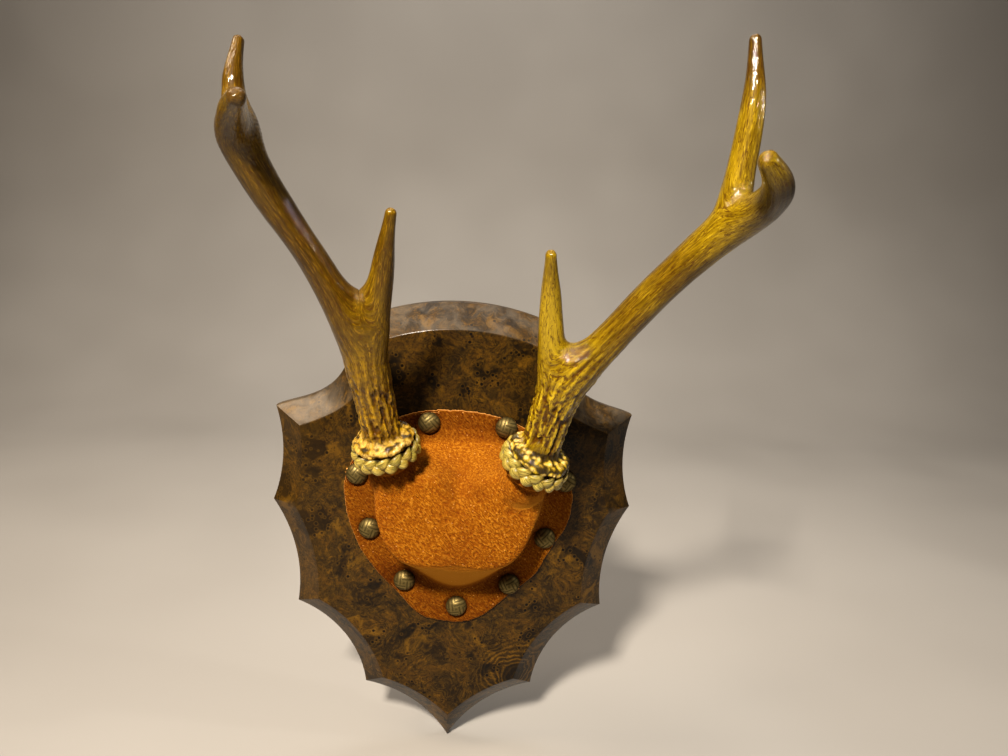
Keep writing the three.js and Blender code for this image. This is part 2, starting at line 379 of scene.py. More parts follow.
def normals_of(piece: bpy.types.Object) -> np.ndarray:
    """The piece's outward directions, one a point.

    Args:
        piece: The piece.

    Returns:
        The directions.
    """
    flat = np.empty(3 * len(piece.data.vertices), np.float32)
    piece.data.vertices.foreach_get("normal", flat)
    return flat.reshape(-1, 3).astype(float)


def relax(piece: bpy.types.Object, points: np.ndarray, amount: np.ndarray | float, rounds: int) -> np.ndarray:
    """Evens the points out over the mesh.

    Args:
        piece: The piece whose edges join them.
        points: Where they are.
        amount: How far each goes towards the middle of its neighbours, from 0 to 1.
        rounds: How many times.

    Returns:
        The new places.
    """
    flat = np.empty(2 * len(piece.data.edges), np.int32)
    piece.data.edges.foreach_get("vertices", flat)
    one, two = np.concatenate([flat.reshape(-1, 2), flat.reshape(-1, 2)[:, ::-1]]).T
    count = np.bincount(one, minlength=len(points))[:, None]
    share = np.broadcast_to(np.asarray(amount, float), len(points))[:, None]
    for _ in range(rounds):
        total = np.stack([np.bincount(one, points[two, i], len(points)) for i in range(3)], 1)
        points = points + share * (total / count - points)
    return points


def carry(piece: bpy.types.Object, name: str, values: np.ndarray) -> None:
    """Stores a number or a direction on each point, for the material to read.

    Args:
        piece: The piece.
        name: What the material calls it.
        values: One number or direction a point.
    """
    kind = "FLOAT" if values.ndim == 1 else "FLOAT_VECTOR"
    layer = piece.data.attributes.new(name, kind, "POINT")
    layer.data.foreach_set("value" if values.ndim == 1 else "vector", values.astype(np.float32).ravel())


def lattice(rows: int, columns: int, closed: bool = True) -> list[tuple[int, ...]]:
    """Quads between rows of points.

    Args:
        rows: How many rows.
        columns: How many points in a row.
        closed: Whether each row goes round.

    Returns:
        The faces, numbered row by row.
    """
    pairs = [(c, (c + 1) % columns) for c in range(columns if closed else columns - 1)]
    starts = [(r * columns, (r + 1) * columns) for r in range(rows - 1)]
    return [(low + c, low + after, high + after, high + c) for low, high in starts for c, after in pairs]


def loft(rings: list[np.ndarray], close: bool = True) -> Shape:
    """A skin over rings of the same number of points, with flat ends if close.

    Args:
        rings: The rings, in order.
        close: Whether the ends are closed.

    Returns:
        The skin.
    """
    count, wide = len(rings), len(rings[0])
    faces = lattice(count, wide)
    if close:
        faces += [tuple(reversed(range(wide))), tuple(range((count - 1) * wide, count * wide))]
    return np.concatenate(rings), faces


def join(shapes: list[Shape]) -> Shape:
    """Several shapes as one.

    Args:
        shapes: The shapes.

    Returns:
        One shape.
    """
    points, faces, start = [], [], 0
    for shape_points, shape_faces in shapes:
        points.append(shape_points)
        faces += [tuple(i + start for i in f) for f in shape_faces]
        start += len(shape_points)
    return np.concatenate(points), faces


def fuse(name: str, shapes: list[Shape], fineness: float) -> bpy.types.Object:
    """Melts overlapping closed shapes into one even skin.

    Args:
        name: The new piece's name.
        shapes: What it is melted from.
        fineness: Width of its quads in mm.

    Returns:
        The piece.
    """
    piece = make_object(name, join(shapes))
    melt = piece.modifiers.new("melt", "REMESH")
    melt.mode, melt.voxel_size = "VOXEL", fineness * MM
    return settle(piece)


def spline(stations: np.ndarray, places: np.ndarray) -> np.ndarray:
    """Reads a centripetal curve through stations.

    Args:
        stations: The points it goes through.
        places: Where to read it, counted in stations.

    Returns:
        A point for each place.
    """
    last = len(stations) - 1
    padded = np.vstack([2 * stations[0] - stations[1], stations, 2 * stations[-1] - stations[-2]])
    step = np.clip(np.floor(places).astype(int), 0, last - 1)
    a, b, c, d = (padded[step + k] for k in range(4))
    reach = [np.sqrt(np.linalg.norm(q - p, axis=1, keepdims=True)) for p, q in ((a, b), (b, c), (c, d))]
    start = ((b - a) / reach[0] - (c - a) / (reach[0] + reach[1]) + (c - b) / reach[1]) * reach[1]
    end = ((c - b) / reach[1] - (d - b) / (reach[1] + reach[2]) + (d - c) / reach[2]) * reach[1]
    t = (places - step)[:, None]
    return b + start * t + (3 * (c - b) - 2 * start - end) * t**2 + (2 * (b - c) + start + end) * t**3


def even_spline(values: np.ndarray, places: np.ndarray, closed: bool = False) -> np.ndarray:
    """The same for plain numbers at even steps, which may go round.

    Args:
        values: The numbers, one a step.
        places: Where to read them, counted in steps.
        closed: Whether they go round.

    Returns:
        A number for each place.
    """
    count = len(values)
    step = np.floor(places).astype(int)
    if not closed:
        step = np.clip(step, 0, count - 2)
    index = [step + k for k in (-1, 0, 1, 2)]
    a, b, c, d = (values[i % count] if closed else values[np.clip(i, 0, count - 1)] for i in index)
    t = places - step
    bend = a - 2.5 * b + 2 * c - 0.5 * d
    return b + 0.5 * (c - a) * t + bend * t**2 + (1.5 * (b - c) + 0.5 * (d - a)) * t**3


def nearest_ball(points: np.ndarray, centres: np.ndarray, radii: np.ndarray) -> np.ndarray:
    """Which ball's surface is nearest to each point, or which it is deepest in.

    Args:
        points: The points.
        centres: The balls' middles.
        radii: Their radii.

    Returns:
        A ball's number for each point.
    """
    index = np.empty(len(points), int)
    balls, size = centres.astype(np.float32), radii.astype(np.float32)
    square = (balls**2).sum(1)
    for k in range(0, len(points), 8000):
        part = points[k : k + 8000].astype(np.float32)
        away = np.sqrt(np.maximum((part**2).sum(1)[:, None] + square - 2 * part @ balls.T, 0)) - size
        index[k : k + 8000] = away.argmin(1)
    return index


def soft_meeting(
    one: np.ndarray, way_one: np.ndarray, two: np.ndarray, way_two: np.ndarray, width: float
) -> tuple[np.ndarray, np.ndarray]:
    """Joins two skins with a rounded inside corner.

    Args:
        one: How far points are outside the first skin.
        way_one: The way out from it.
        two: The same for the second skin.
        way_two: The way out from that.
        width: How wide the rounding is.

    Returns:
        How far the points are outside the joined skin, and the way out.
    """
    overlap = np.maximum(width - np.abs(one - two), 0) / width
    share = np.where(one < two, 1 - overlap / 2, overlap / 2)[:, None]
    return np.minimum(one, two) - overlap**2 * width / 4, share * way_one + (1 - share) * way_two


# ---------------------------------------------------------------- finishes


@dataclass(frozen=True)
class BurlWalnut:
    """Walnut burl veneer under satin lacquer: curled mottling, amber patches and clusters of black eyes."""

    shadow: str = "160F05"
    heart: str = "2B1E0A"
    olive: str = "3A2A0C"
    amber: str = "4E360E"
    honey: str = "7A5814"
    eye: str = "060403"
    # painted sheen of the overhead light, with dust, on what faces up
    dust_and_sheen: str = "82786A"
    # sizes in mm
    swirl: float = 26.0  # between the swirls of the figure
    cloud: float = 15.0  # between its dark and light parts
    mottle: float = 2.6  # between light and dark curls
    fibre: float = 1.1  # between fibre lines, drawn a little coarser than real ones so that they show
    pore: float = 0.8  # between open pores, which are some 0.3 mm wide
    eye_gap: float = 3.4  # between the buds that make the eyes
    knot_gap: float = 17.0  # between the small dark knots
    knot: tuple[float, float] = (40.0, -84.0)  # middle of the one large ringed knot
    knot_ring: float = 3.0  # between its rings

    def make(self) -> bpy.types.Material:
        """Mixes the material.

        Returns:
            The material.
        """
        paint = Painter(
            "burl_walnut", Coat_Weight=0.42, Coat_Roughness=0.2, Coat_IOR=1.45, Specular_IOR_Level=0.08
        )
        where = paint.place()
        bent = self.stir(paint, self.stir(paint, where, self.swirl, 0.9), 5.0, 0.8)
        wood = self.veneer(paint, where, bent)
        wood = self.ringed_knot(paint, wood, bent)
        wood = self.eyes(paint, wood, where, bent)
        pores = paint.put("TexNoise", Vector=where, Scale=1 / self.pore, Roughness=0.6)
        wood = paint.lay(wood, self.eye, Band(pores, 0.56, 0.7, 0, 0.7))
        # painted shade high up, painted light on the left, and a painted sheen with dust on what faces up
        wood = self.age(paint, wood, where, bent)
        rubbed = paint.put("TexNoise", Vector=where, Scale=1 / 26, Detail=3)
        waves = paint.put("TexNoise", Vector=where, Scale=1 / 14)
        paint.wire(
            Base_Color=wood,
            Roughness=paint.read(Band(rubbed, 0.3, 0.7, 0.42, 0.55)),
            Normal=paint.relief((waves, 0.2), (pores, -0.05)),
        )
        return paint.material

    def stir(self, paint: Painter, where: Any, size: float, push: float) -> Any:
        """A place pushed about by noise of one size, in shares of that size.

        Args:
            paint: The material being mixed.
            where: The place.
            size: Size of the noise, in mm.
            push: How far it pushes.

        Returns:
            The new place.
        """
        drift = paint.put("TexNoise", "Color", Vector=where, Scale=1 / size)
        centred = paint.put("VectorMath", operation="SUBTRACT", _0=drift, _1=(0.5, 0.5, 0.5))
        pushed = paint.put("VectorMath", operation="SCALE", _0=centred, Scale=push * size)
        return paint.put("VectorMath", operation="ADD", _0=where, _1=pushed)

    def veneer(self, paint: Painter, where: Any, bent: Any) -> Any:
        """The burl's figure, with its fibres and its light and dark curls.

        Args:
            paint: The material being mixed.
            where: The place, in mm.
            bent: The place, stirred by the figure.

        Returns:
            The wood's colour.
        """
        figure = paint.put("TexNoise", Vector=bent, Scale=1 / self.cloud, Detail=6, Roughness=0.62)
        shades = (self.shadow, self.heart, self.olive, self.amber, self.olive, self.honey)
        wood = paint.put("ValToRGB", Fac=figure, stops=list(zip((0.28, 0.4, 0.48, 0.55, 0.62, 0.74), shades)))
        # fibres follow the swirls: they are contour lines of one smooth figure
        smooth = paint.put("TexNoise", Vector=bent, Scale=1 / 12, Detail=1.5, Roughness=0.45)
        lines = paint.put("Math", operation="SINE", _0=paint.amount(smooth, 2 * math.pi * 20 / self.fibre))
        clear = paint.read(Band(paint.put("TexNoise", Vector=where, Scale=1 / 11), 0.42, 0.62))
        wood = paint.lay(wood, self.shadow, Band(lines, -0.3, 1, 0, 0.4), clear)
        wood = paint.lay(wood, self.honey, Band(lines, 0.1, -1, 0, 0.15), clear)
        # the end grain shimmers
        curls = paint.put("TexNoise", Vector=bent, Scale=1 / self.mottle, Detail=4, Roughness=0.7)
        wood = paint.lay(wood, self.shadow, Band(curls, 0.52, 0.34, 0, 0.6))
        wood = paint.lay(wood, self.honey, Band(curls, 0.5, 0.74, 0, 0.45))
        gold = paint.put("TexNoise", Vector=bent, Scale=1 / 13, Detail=3, Roughness=0.6)
        return paint.lay(wood, self.honey, Band(gold, 0.55, 0.7, 0, 0.55))

    def ringed_knot(self, paint: Painter, wood: Any, bent: Any) -> Any:
        """One large knot with rings round it.

        Args:
            paint: The material being mixed.
            wood: The wood's colour so far.
            bent: The place, stirred by the figure.

        Returns:
            The new colour.
        """
        cut = paint.put("VectorMath", operation="MULTIPLY", _0=bent, _1=(1, 0, 1))
        middle = (self.knot[0], 0, self.knot[1])
        away = paint.put("VectorMath", "Value", operation="DISTANCE", _0=cut, _1=middle)
        rings = paint.put("Math", operation="SINE", _0=paint.amount(away, 2 * math.pi / self.knot_ring))
        near = paint.read(Band(away, 32, 14))
        wood = paint.lay(wood, self.shadow, Band(rings, -0.6, 1, 0, 0.65), near)
        wood = paint.lay(wood, self.honey, Band(rings, -0.2, -1, 0, 0.35), near)
        return paint.lay(wood, self.eye, Band(away, 10, 5, 0, 0.8))

    def eyes(self, paint: Painter, wood: Any, where: Any, bent: Any) -> Any:
        """Small dark knots, full of black buds with thin amber collars.

        Args:
            paint: The material being mixed.
            wood: The wood's colour so far.
            where: The place, in mm.
            bent: The place, stirred by the figure.

        Returns:
            The new colour.
        """
        knots = paint.put("TexNoise", Vector=bent, Scale=1 / self.knot_gap, Detail=1.5)
        wood = paint.lay(wood, self.eye, Band(knots, 0.58, 0.67, 0, 0.85))
        many = paint.read(Band(knots, 0.53, 0.6))
        buds = paint.put("TexVoronoi", "Distance", Vector=where, Scale=1 / self.eye_gap, Randomness=1.0)
        wood = paint.lay(wood, self.honey, Band(buds, 0.46, 0.36), Band(buds, 0.22, 0.32), many, 0.2)
        return paint.lay(wood, self.eye, Band(buds, 0.28, 0.18), many)

    def age(self, paint: Painter, wood: Any, where: Any, bent: Any) -> Any:
        """Paints shade over the veneer that deepens towards the top, light on its left side, and a sheen of
        the overhead light, in dusty clouds, on what faces up.

        Args:
            paint: The material being mixed.
            wood: The wood's colour so far.
            where: The place, in mm.
            bent: The place, stirred by the figure.

        Returns:
            The new colour.
        """
        sideways = paint.put("SeparateXYZ", 0, _0=where)
        height = paint.put("SeparateXYZ", 2, _0=where)
        # painted shade, deepest at the top by the antlers, and painted light on the left side
        wood = paint.lay(wood, self.shadow, Band(height, -60, 100, 0.15, 0.35))
        wood = paint.lay(wood, self.honey, Band(sideways, -40, -140, 0, 0.16))
        # painted sheen of the overhead light, in dusty clouds, on what faces up
        up = paint.put("SeparateXYZ", 2, _0=paint.put("NewGeometry", "Normal"))
        clouds = paint.put("TexNoise", Vector=bent, Scale=1 / 12, Detail=3, Roughness=0.6)
        return paint.lay(wood, self.dust_and_sheen, Band(up, 0.25, 0.7), Band(clouds, 0.36, 0.64, 0.06, 0.26))


@dataclass(frozen=True)
class Suede:
    """Split cowhide suede, buffed to a nap of tufts: no gloss, a soft bright rim, pale where it was cut."""

    rust: str = "733C0A"
    orange: str = "8A530A"
    light: str = "B27824"
    # painted light, and one light scratch, where the shading figure is above 0
    bright: str = "BE852C"
    # painted shade where the shading figure is below 0
    painted_shade: str = "9C8C74"  # multiplies the others
    cut: str = "E2A864"
    rim_light: str = "F2A050"
    # sizes in mm
    tuft: float = 0.85  # across a tuft of the nap, a little coarser than real ones so that they show
    cloud: float = 16.0  # between darker and lighter parts of the hide
    speck_gap: float = 3.4  # between pale specks

    def make(self) -> bpy.types.Material:
        """Mixes the material.

        Returns:
            The material.
        """
        paint = Painter(
            "rust_suede", Roughness=0.95, Specular_IOR_Level=0.08, Sheen_Weight=0.08, Sheen_Roughness=0.4,
            Sheen_Tint=linear(self.rim_light),
        )
        where = paint.place()
        # the nap was brushed one way, so its tufts are twice as long as they are wide
        brushed = paint.put("VectorRotate", _0=where, Axis=(0, 1, 0), Angle=0.7)
        drawn = paint.put("VectorMath", operation="MULTIPLY", _0=brushed, _1=(1, 1, 0.5))
        tufts = paint.put("TexNoise", Vector=drawn, Scale=1 / self.tuft, Roughness=0.6, Distortion=0.5)
        clouds = paint.put("TexNoise", Vector=where, Scale=1 / self.cloud, Detail=3)
        specks = paint.put("TexVoronoi", "Distance", Vector=where, Scale=1 / self.speck_gap, Randomness=1.0)
        stops = [(0.32, self.rust), (0.5, self.orange), (0.72, self.light)]
        smooth = paint.lay(self.rust, self.orange, Band(clouds, 0.3, 0.7, 0.7, 1))
        hide = paint.lay(smooth, paint.put("ValToRGB", Fac=tufts, stops=stops), "nap")
        hide = paint.lay(hide, self.rust, Band(clouds, 0.4, 0.66, 0, 0.3))
        # painted light where the shading figure that the mesh carries is above 0, and painted shade where it
        # is below; one light scratch is the hide's own
        hide = paint.lay(hide, self.bright, Band("tone", 0, 1, 0, 0.9))
        hide = paint.lay(hide, self.painted_shade, Band("tone", 0, -1, 0, 0.95), how=Mixing.STAIN)
        hide = paint.lay(hide, self.cut, Band(specks, 0.12, 0.05, 0, 0.6))
        hide = paint.lay(hide, self.cut, "cut_edge")
        depth = paint.amount(tufts, Band("nap", 0, 1, 0.35, 1))
        paint.wire(Base_Color=hide, Normal=paint.relief((depth, 1.25)))
        return paint.material


@dataclass(frozen=True)
class AntiqueBrass:
    """Stamped brass upholstery nails, aged with a dark wash that was rubbed off their high places."""

    metal: str = "867548"
    wash: str = "483F22"
    # sizes in mm
    patch: float = 1.6  # between rubbed and dark patches
    dent: float = 0.5  # between the small dents of the hammering

    def make(self) -> bpy.types.Material:
        """Mixes the material.

        Returns:
            The material.
        """
        paint = Painter("antique_brass", Metallic=0.8, Roughness=0.42)
        where = paint.place()
        patches = paint.put("TexNoise", Vector=where, Scale=1 / self.patch, Detail=4, Roughness=0.65)
        dents = paint.put("TexNoise", Vector=where, Scale=1 / self.dent)
        rubbed = paint.amount("high", Band(patches, 0.25, 0.6, 0.45, 1))
        paint.wire(
            Base_Color=paint.lay(self.wash, self.metal, rubbed),
            Roughness=paint.read(Band(rubbed, 0, 1, 0.62, 0.44)),
            Normal=paint.relief((dents, 0.06)),
        )
        return paint.material


@dataclass(frozen=True)
class ZincPlate:
    """Zinc-plated steel wood screws: bright, slightly mottled."""

    plate: str = "B9BBB8"
    dull: str = "8E908E"
    spangle: float = 1.8  # between bright and dull spots, in mm

    def make(self) -> bpy.types.Material:
        """Mixes the material.

        Returns:
            The material.
        """
        paint = Painter("zinc_plate", Metallic=1.0, Roughness=0.35)
        mottle = paint.put("TexNoise", Vector=paint.place(), Scale=1 / self.spangle, Detail=4, Roughness=0.6)
        paint.wire(
            Base_Color=paint.lay(self.plate, self.dull, Band(mottle, 0.3, 0.7)),
            Roughness=paint.read(Band(mottle, 0.3, 0.7, 0.28, 0.45)),
        )
        return paint.material


@dataclass(frozen=True)
class VarnishedAntler:
    """Antler bone under gloss varnish: lengthwise grain, amber stain in the grooves, a wet shine."""

    name: str
    bone: str = "8E7408"
    pale: str = "BCA022"
    cream: str = "D8BC74"
    stain: str = "5A4404"
    dusk: str = "9C8A68"  # multiplies the others where the antler is darker
    crack: str = "442404"
    # painted shade in the gaps between the burr's pearls
    gully: str = "1C1208"
    grey: str = "3C3226"
    # sizes in mm, measured round the antler
    grain: float = 0.55  # between streaks
    blot: float = 9.0  # between stained and clean parts
    fleck: float = 0.6  # between flecks, which are pores cut open
    crack_gap: float = 1.5  # between hairline cracks
    bead: float = 0.9  # between drops of varnish
    lengths: tuple[float, float] = (10, 3.5)  # how much longer than wide the streaks and the flecks are

    def make(self) -> bpy.types.Material:
        """Mixes the material.

        Returns:
            The material.
        """
        paint = Painter(
            self.name, Roughness=0.4, Specular_IOR_Level=0.08, Coat_Weight=0.85, Coat_Roughness=0.045,
            Coat_IOR=1.45,
        )
        run = paint.put("Attribute", "Vector", attribute_name="run")
        long, stocky = (
            paint.put("VectorMath", operation="MULTIPLY", _0=run, _1=(1, 1, 1 / times))
            for times in self.lengths
        )
        streaks = paint.put("TexNoise", Vector=long, Scale=1 / self.grain, Detail=3, Roughness=0.6)
        wide = paint.put("TexNoise", Vector=long, Scale=1 / (4 * self.grain), Detail=3, Roughness=0.55)
        broad = paint.put("TexNoise", Vector=stocky, Scale=1 / self.blot, Detail=3, Roughness=0.55)
        flecks = paint.put("TexNoise", Vector=stocky, Scale=1 / self.fleck, Detail=3, Roughness=0.65)
        bone = paint.lay(self.bone, self.stain, Band(broad, 0.4, 0.66, 0, 0.55))
        bone = paint.lay(bone, self.stain, Band(wide, 0.5, 0.34, 0, 0.5))
        bone = paint.lay(bone, self.pale, Band(streaks, 0.5, 0.7, 0, 0.55))
        bone = paint.lay(bone, self.stain, Band(streaks, 0.46, 0.32, 0, 0.7))
        bone = paint.lay(bone, self.dusk, Kind.DARK.value, how=Mixing.STAIN)
        # greyer patches; on the right beam's tip this is a painted reflection of the varnish
        bone = paint.lay(bone, self.grey, Kind.GREY.value)
        bone = paint.lay(bone, self.pale, Kind.PALE.value)
        # hairline cracks are where a long stretched noise crosses its middle
        drift = paint.put("TexNoise", Vector=long, Scale=1 / self.crack_gap)
        offset = paint.put("Math", operation="SUBTRACT", _0=drift, _1=0.5)
        hairline = paint.put("Math", operation="ABSOLUTE", _0=offset)
        bone = paint.lay(bone, self.crack, Band(hairline, 0.024, 0.004, 0, 0.7))
        bone = paint.lay(bone, self.crack, Band(flecks, 0.53, 0.66), Band("rough_end", 0, 0.6, 0.45, 0.85))
        bone = paint.lay(bone, self.crack, "groove")
        pearl = paint.lay(self.cream, self.pale, Band(broad, 0.4, 0.7, 0, 0.7))
        pearl = paint.lay(pearl, self.stain, Band(flecks, 0.52, 0.36, 0, 0.75))
        bone = paint.lay(bone, pearl, "pearl")
        # painted shade in the gaps between the pearls
        bone = paint.lay(bone, self.gully, "gully")
        # the varnish lies smoother than the bone under it, and in runs and beads near the burr
        drops = paint.put("TexNoise", Vector=stocky, Scale=1 / self.bead)
        beads = paint.amount(drops, Band("rough_end", 0, 0.5, 0.45, 1))
        paint.wire(
            Base_Color=bone,
            Normal=paint.relief((flecks, 0.12), (streaks, 0.12)),
            Coat_Normal=paint.relief((broad, 0.2), (wide, 0.15), (beads, 0.8)),
        )
        return paint.material


@dataclass(frozen=True)
class PlaitedStraw:
    """Three-strand plait of split straw: glossy leaves with fine lengthwise fibres, and painted shade in the
    gaps between them.
    """

    straw: str = "9A8230"
    light: str = "CCB45C"
    green: str = "7E722A"
    # dark lines between fibres, and painted shade where strands dip under others
    gap: str = "1C1204"
    fibre: float = 0.32  # between fibres, in mm; they are 12 times as long
    leaf: float = 6.0  # between greener and yellower leaves, in mm

    def make(self) -> bpy.types.Material:
        """Mixes the material.

        Returns:
            The material.
        """
        paint = Painter("plaited_straw", Roughness=0.45, Coat_Weight=0.35, Coat_Roughness=0.25)
        run = paint.put("Attribute", "Vector", attribute_name="run")
        long = paint.put("VectorMath", operation="MULTIPLY", _0=run, _1=(1, 1, 1 / 12))
        fibres = paint.put("TexNoise", Vector=long, Scale=1 / self.fibre, Detail=3, Roughness=0.6)
        leaves = paint.put("TexNoise", Vector=paint.place(), Scale=1 / self.leaf)
        straw = paint.lay(self.green, self.straw, Band(leaves, 0.35, 0.65))
        straw = paint.lay(straw, self.light, Band(fibres, 0.45, 0.7))
        straw = paint.lay(straw, self.gap, Band(fibres, 0.45, 0.3, 0, 0.7))
        # painted shade where a strand dips under the others, and along its edges
        straw = paint.lay(straw, self.gap, "deep")
        paint.wire(Base_Color=straw, Normal=paint.relief((fibres, 0.2)))
        return paint.material


@dataclass(frozen=True)
class PaleSweep:
    """Plain matt studio paper, pale warm grey."""

    paper: str = "A8A49E"
    shade: str = "A09C96"
    cloud: float = 300.0  # between its slightly lighter and darker parts, in mm

    def make(self) -> bpy.types.Material:
        """Mixes the material.

        Returns:
            The material.
        """
        paint = Painter("pale_sweep", Roughness=0.95, Specular_IOR_Level=0.1)
        clouds = paint.put("TexNoise", Vector=paint.place(), Scale=1 / self.cloud)
        paint.wire(Base_Color=paint.lay(self.paper, self.shade, Band(clouds, 0.3, 0.7)))
        return paint.material


# ---------------------------------------------------------------- the shield


@dataclass
class Shield:
    """The scalloped board: its outline, chamfer, hanging slot and screw recesses."""

    finish: BurlWalnut = field(default_factory=BurlWalnut)
    edge: float = 5.1  # upright part of the edge, behind the chamfer
    chamfer: float = 13.4
    tip: tuple[float, float] = (0, -133.5)
    corners: tuple = ((49.7, -97), (89.1, -44.3), (102, 18.4), (99.4, 73.2))
    hollows: tuple = (6.6, 8.8, 5.8, 4.5)  # of the scallops between them
    crown: float = 134.1  # height of the round top
    crown_radius: float = 133.6
    crown_half: tuple = (56.0, 43.5)  # on the outline, and on the face
    swings: tuple = (((85, 80), (58, 77)), ((72, 70.5), (45, 77)))  # curve from the shoulder to the top
    face_shoulder: tuple = (83.8, 65.4)
    softness: float = 0.7  # radius of the worn edges
    steps: int = 20  # points along each scallop
    slot: tuple = (88.0, 5.0, 2.5, 104.0, 9.0)  # entry height and radius, half width, top, depth
    screws: tuple = ((-26, 34), (32, 34))
    recess: tuple = (4.8, 4.3)  # radius and depth

    def scallop(self, start: np.ndarray, end: np.ndarray, hollow: float) -> tuple[np.ndarray, float]:
        """The circle that a scallop between two corners is cut to.

        Args:
            start: The first corner.
            end: The second one.
            hollow: How deep the scallop is.

        Returns:
            The circle's centre and radius.
        """
        half = np.linalg.norm(end - start) / 2
        radius = (half * half + hollow * hollow) / (2 * hollow)
        out = np.array([end[1] - start[1], start[0] - end[0]]) / (2 * half)
        return (start + end) / 2 + out * (radius - hollow), radius

    def crossing(self, one: tuple, two: tuple, near: np.ndarray) -> np.ndarray:
        """Where two circles cross, on the side of a point.

        Args:
            one: The first circle's centre and radius.
            two: The second circle's.
            near: The point.

        Returns:
            The crossing.
        """
        line = two[0] - one[0]
        distance = np.linalg.norm(line)
        along = (one[1] ** 2 - two[1] ** 2 + distance**2) / (2 * distance)
        foot = one[0] + line * along / distance
        aside = np.array([-line[1], line[0]]) / distance * math.sqrt(one[1] ** 2 - along**2)
        return min((foot + aside, foot - aside), key=lambda p: np.linalg.norm(p - near))

    def outline(self, inset: float) -> np.ndarray:
        """The shield's outline, or the face's inside the chamfer.

        Args:
            inset: 0 for the outline, or the chamfer's width.

        Returns:
            Points as x and z, from the tip anticlockwise.
        """
        stops = [np.array(p, float) for p in (self.tip, *self.corners)]
        circles = [self.scallop(stops[i], stops[i + 1], h) for i, h in enumerate(self.hollows)]
        circles = [(centre, radius + inset) for centre, radius in circles]
        mirrored = (circles[0][0] * [-1, 1], circles[0][1])
        ends = [self.crossing(a, b, s) for a, b, s in zip([mirrored, *circles[:-1]], circles, stops)]
        ends.append(np.array(self.face_shoulder, float) if inset else stops[-1])
        t = np.linspace(0, 1, self.steps + 1)[:-1]
        runs = []
        for (centre, radius), start, end in zip(circles, ends, ends[1:]):
            a, b = (math.atan2(*(p - centre)[::-1]) for p in (start, end))
            turn = (b - a + math.pi) % (2 * math.pi) - math.pi
            angle = a + turn * t
            runs.append(centre + radius * np.stack([np.cos(angle), np.sin(angle)], 1))
        radius, half = self.crown_radius - inset, self.crown_half[bool(inset)]
        middle = self.crown - self.crown_radius
        low = math.acos(half / radius)
        first = np.array([half, middle + radius * math.sin(low)])
        c1, c2 = (np.array(p, float) for p in self.swings[bool(inset)])
        s = t[:, None]
        runs.append(
            ends[-1] * (1 - s) ** 3 + 3 * c1 * s * (1 - s) ** 2 + 3 * c2 * s**2 * (1 - s) + first * s**3
        )
        angle = low + (math.pi / 2 - low) * t
        runs.append(np.stack([radius * np.cos(angle), middle + radius * np.sin(angle)], 1))
        right = np.concatenate(runs)
        return np.concatenate([right, [[0, middle + radius]], right[:0:-1] * [-1, 1]])

    def slab(self) -> Shape:
        """The board without its cuts, its edges softened.

        Returns:
            The board as a closed shape.
        """
        outer, face = self.outline(0), self.outline(self.chamfer)
        soft, edge, wide = self.softness, self.edge, self.chamfer
        run = -FRONT - edge
        slope, lean = run / math.hypot(run, wide), wide / math.hypot(run, wide)
        # each ring is how far in from the outline, and how far forward
        path = [(0.6, 0.0), (0.18, 0.15), (0.0, 0.6), (0.0, edge - 0.8 * soft)]
        path += [(0.12 * soft, edge), (0.8 * soft * lean, edge + 0.8 * soft * slope)]
        path += [(wide * k, edge + run * k) for k in (0.15, 0.3, 0.5, 0.7, 0.85)]
        path += [(wide - 0.5 * soft, -FRONT - 0.5 * soft * slope / lean), (wide, -FRONT - 0.1 * soft)]
        path += [(wide + 0.7 * soft, -FRONT)]
        middle, reach = np.array([0.0, 5.0]), 90
        rings = []
        for inset, forward in path:
            flat = outer + (face - outer) * (inset / wide)
            if inset > wide:
                flat = face + (middle - face) * (inset - wide) / reach
            rings.append(np.stack([flat[:, 0], np.full(len(flat), -forward), flat[:, 1]], 1))
        return loft(rings)

    def cutters(self) -> bpy.types.Object:
        """The hanging slot and the screw recesses, as one piece to cut with.

        Returns:
            The piece.
        """

        def plug(points: list[tuple[float, float]], deep: float) -> Shape:
            """An upright block of this outline, proud of the back."""
            return loft([np.array([(x, y, z) for x, z in points], float) for y in (1.0, -deep)])

        height, radius, half, top, deep = self.slot
        start = math.asin(half / radius)
        arc = np.linspace(math.pi / 2 + start, 2 * math.pi + math.pi / 2 - start, 36)
        entry = [(radius * math.cos(a), height + radius * math.sin(a)) for a in arc]
        end = [(half * math.cos(a), top - half + half * math.sin(a)) for a in np.linspace(0, math.pi, 12)]
        shapes = [plug(entry + end, deep)]
        hole, sunk = self.recess
        for x, z in self.screws:
            shapes.append(plug([(x + hole * math.cos(a), z + hole * math.sin(a)) for a in around(40)], sunk))
        return make_object("cutters", join(shapes))

    def build(self) -> list[bpy.types.Object]:
        """Cuts the board out and lacquers it.

        Returns:
            The board.
        """
        board = make_object("shield_board", self.slab(), self.finish.make())
        carve(board, [self.cutters()], 32)
        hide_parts("board")
        return [board]


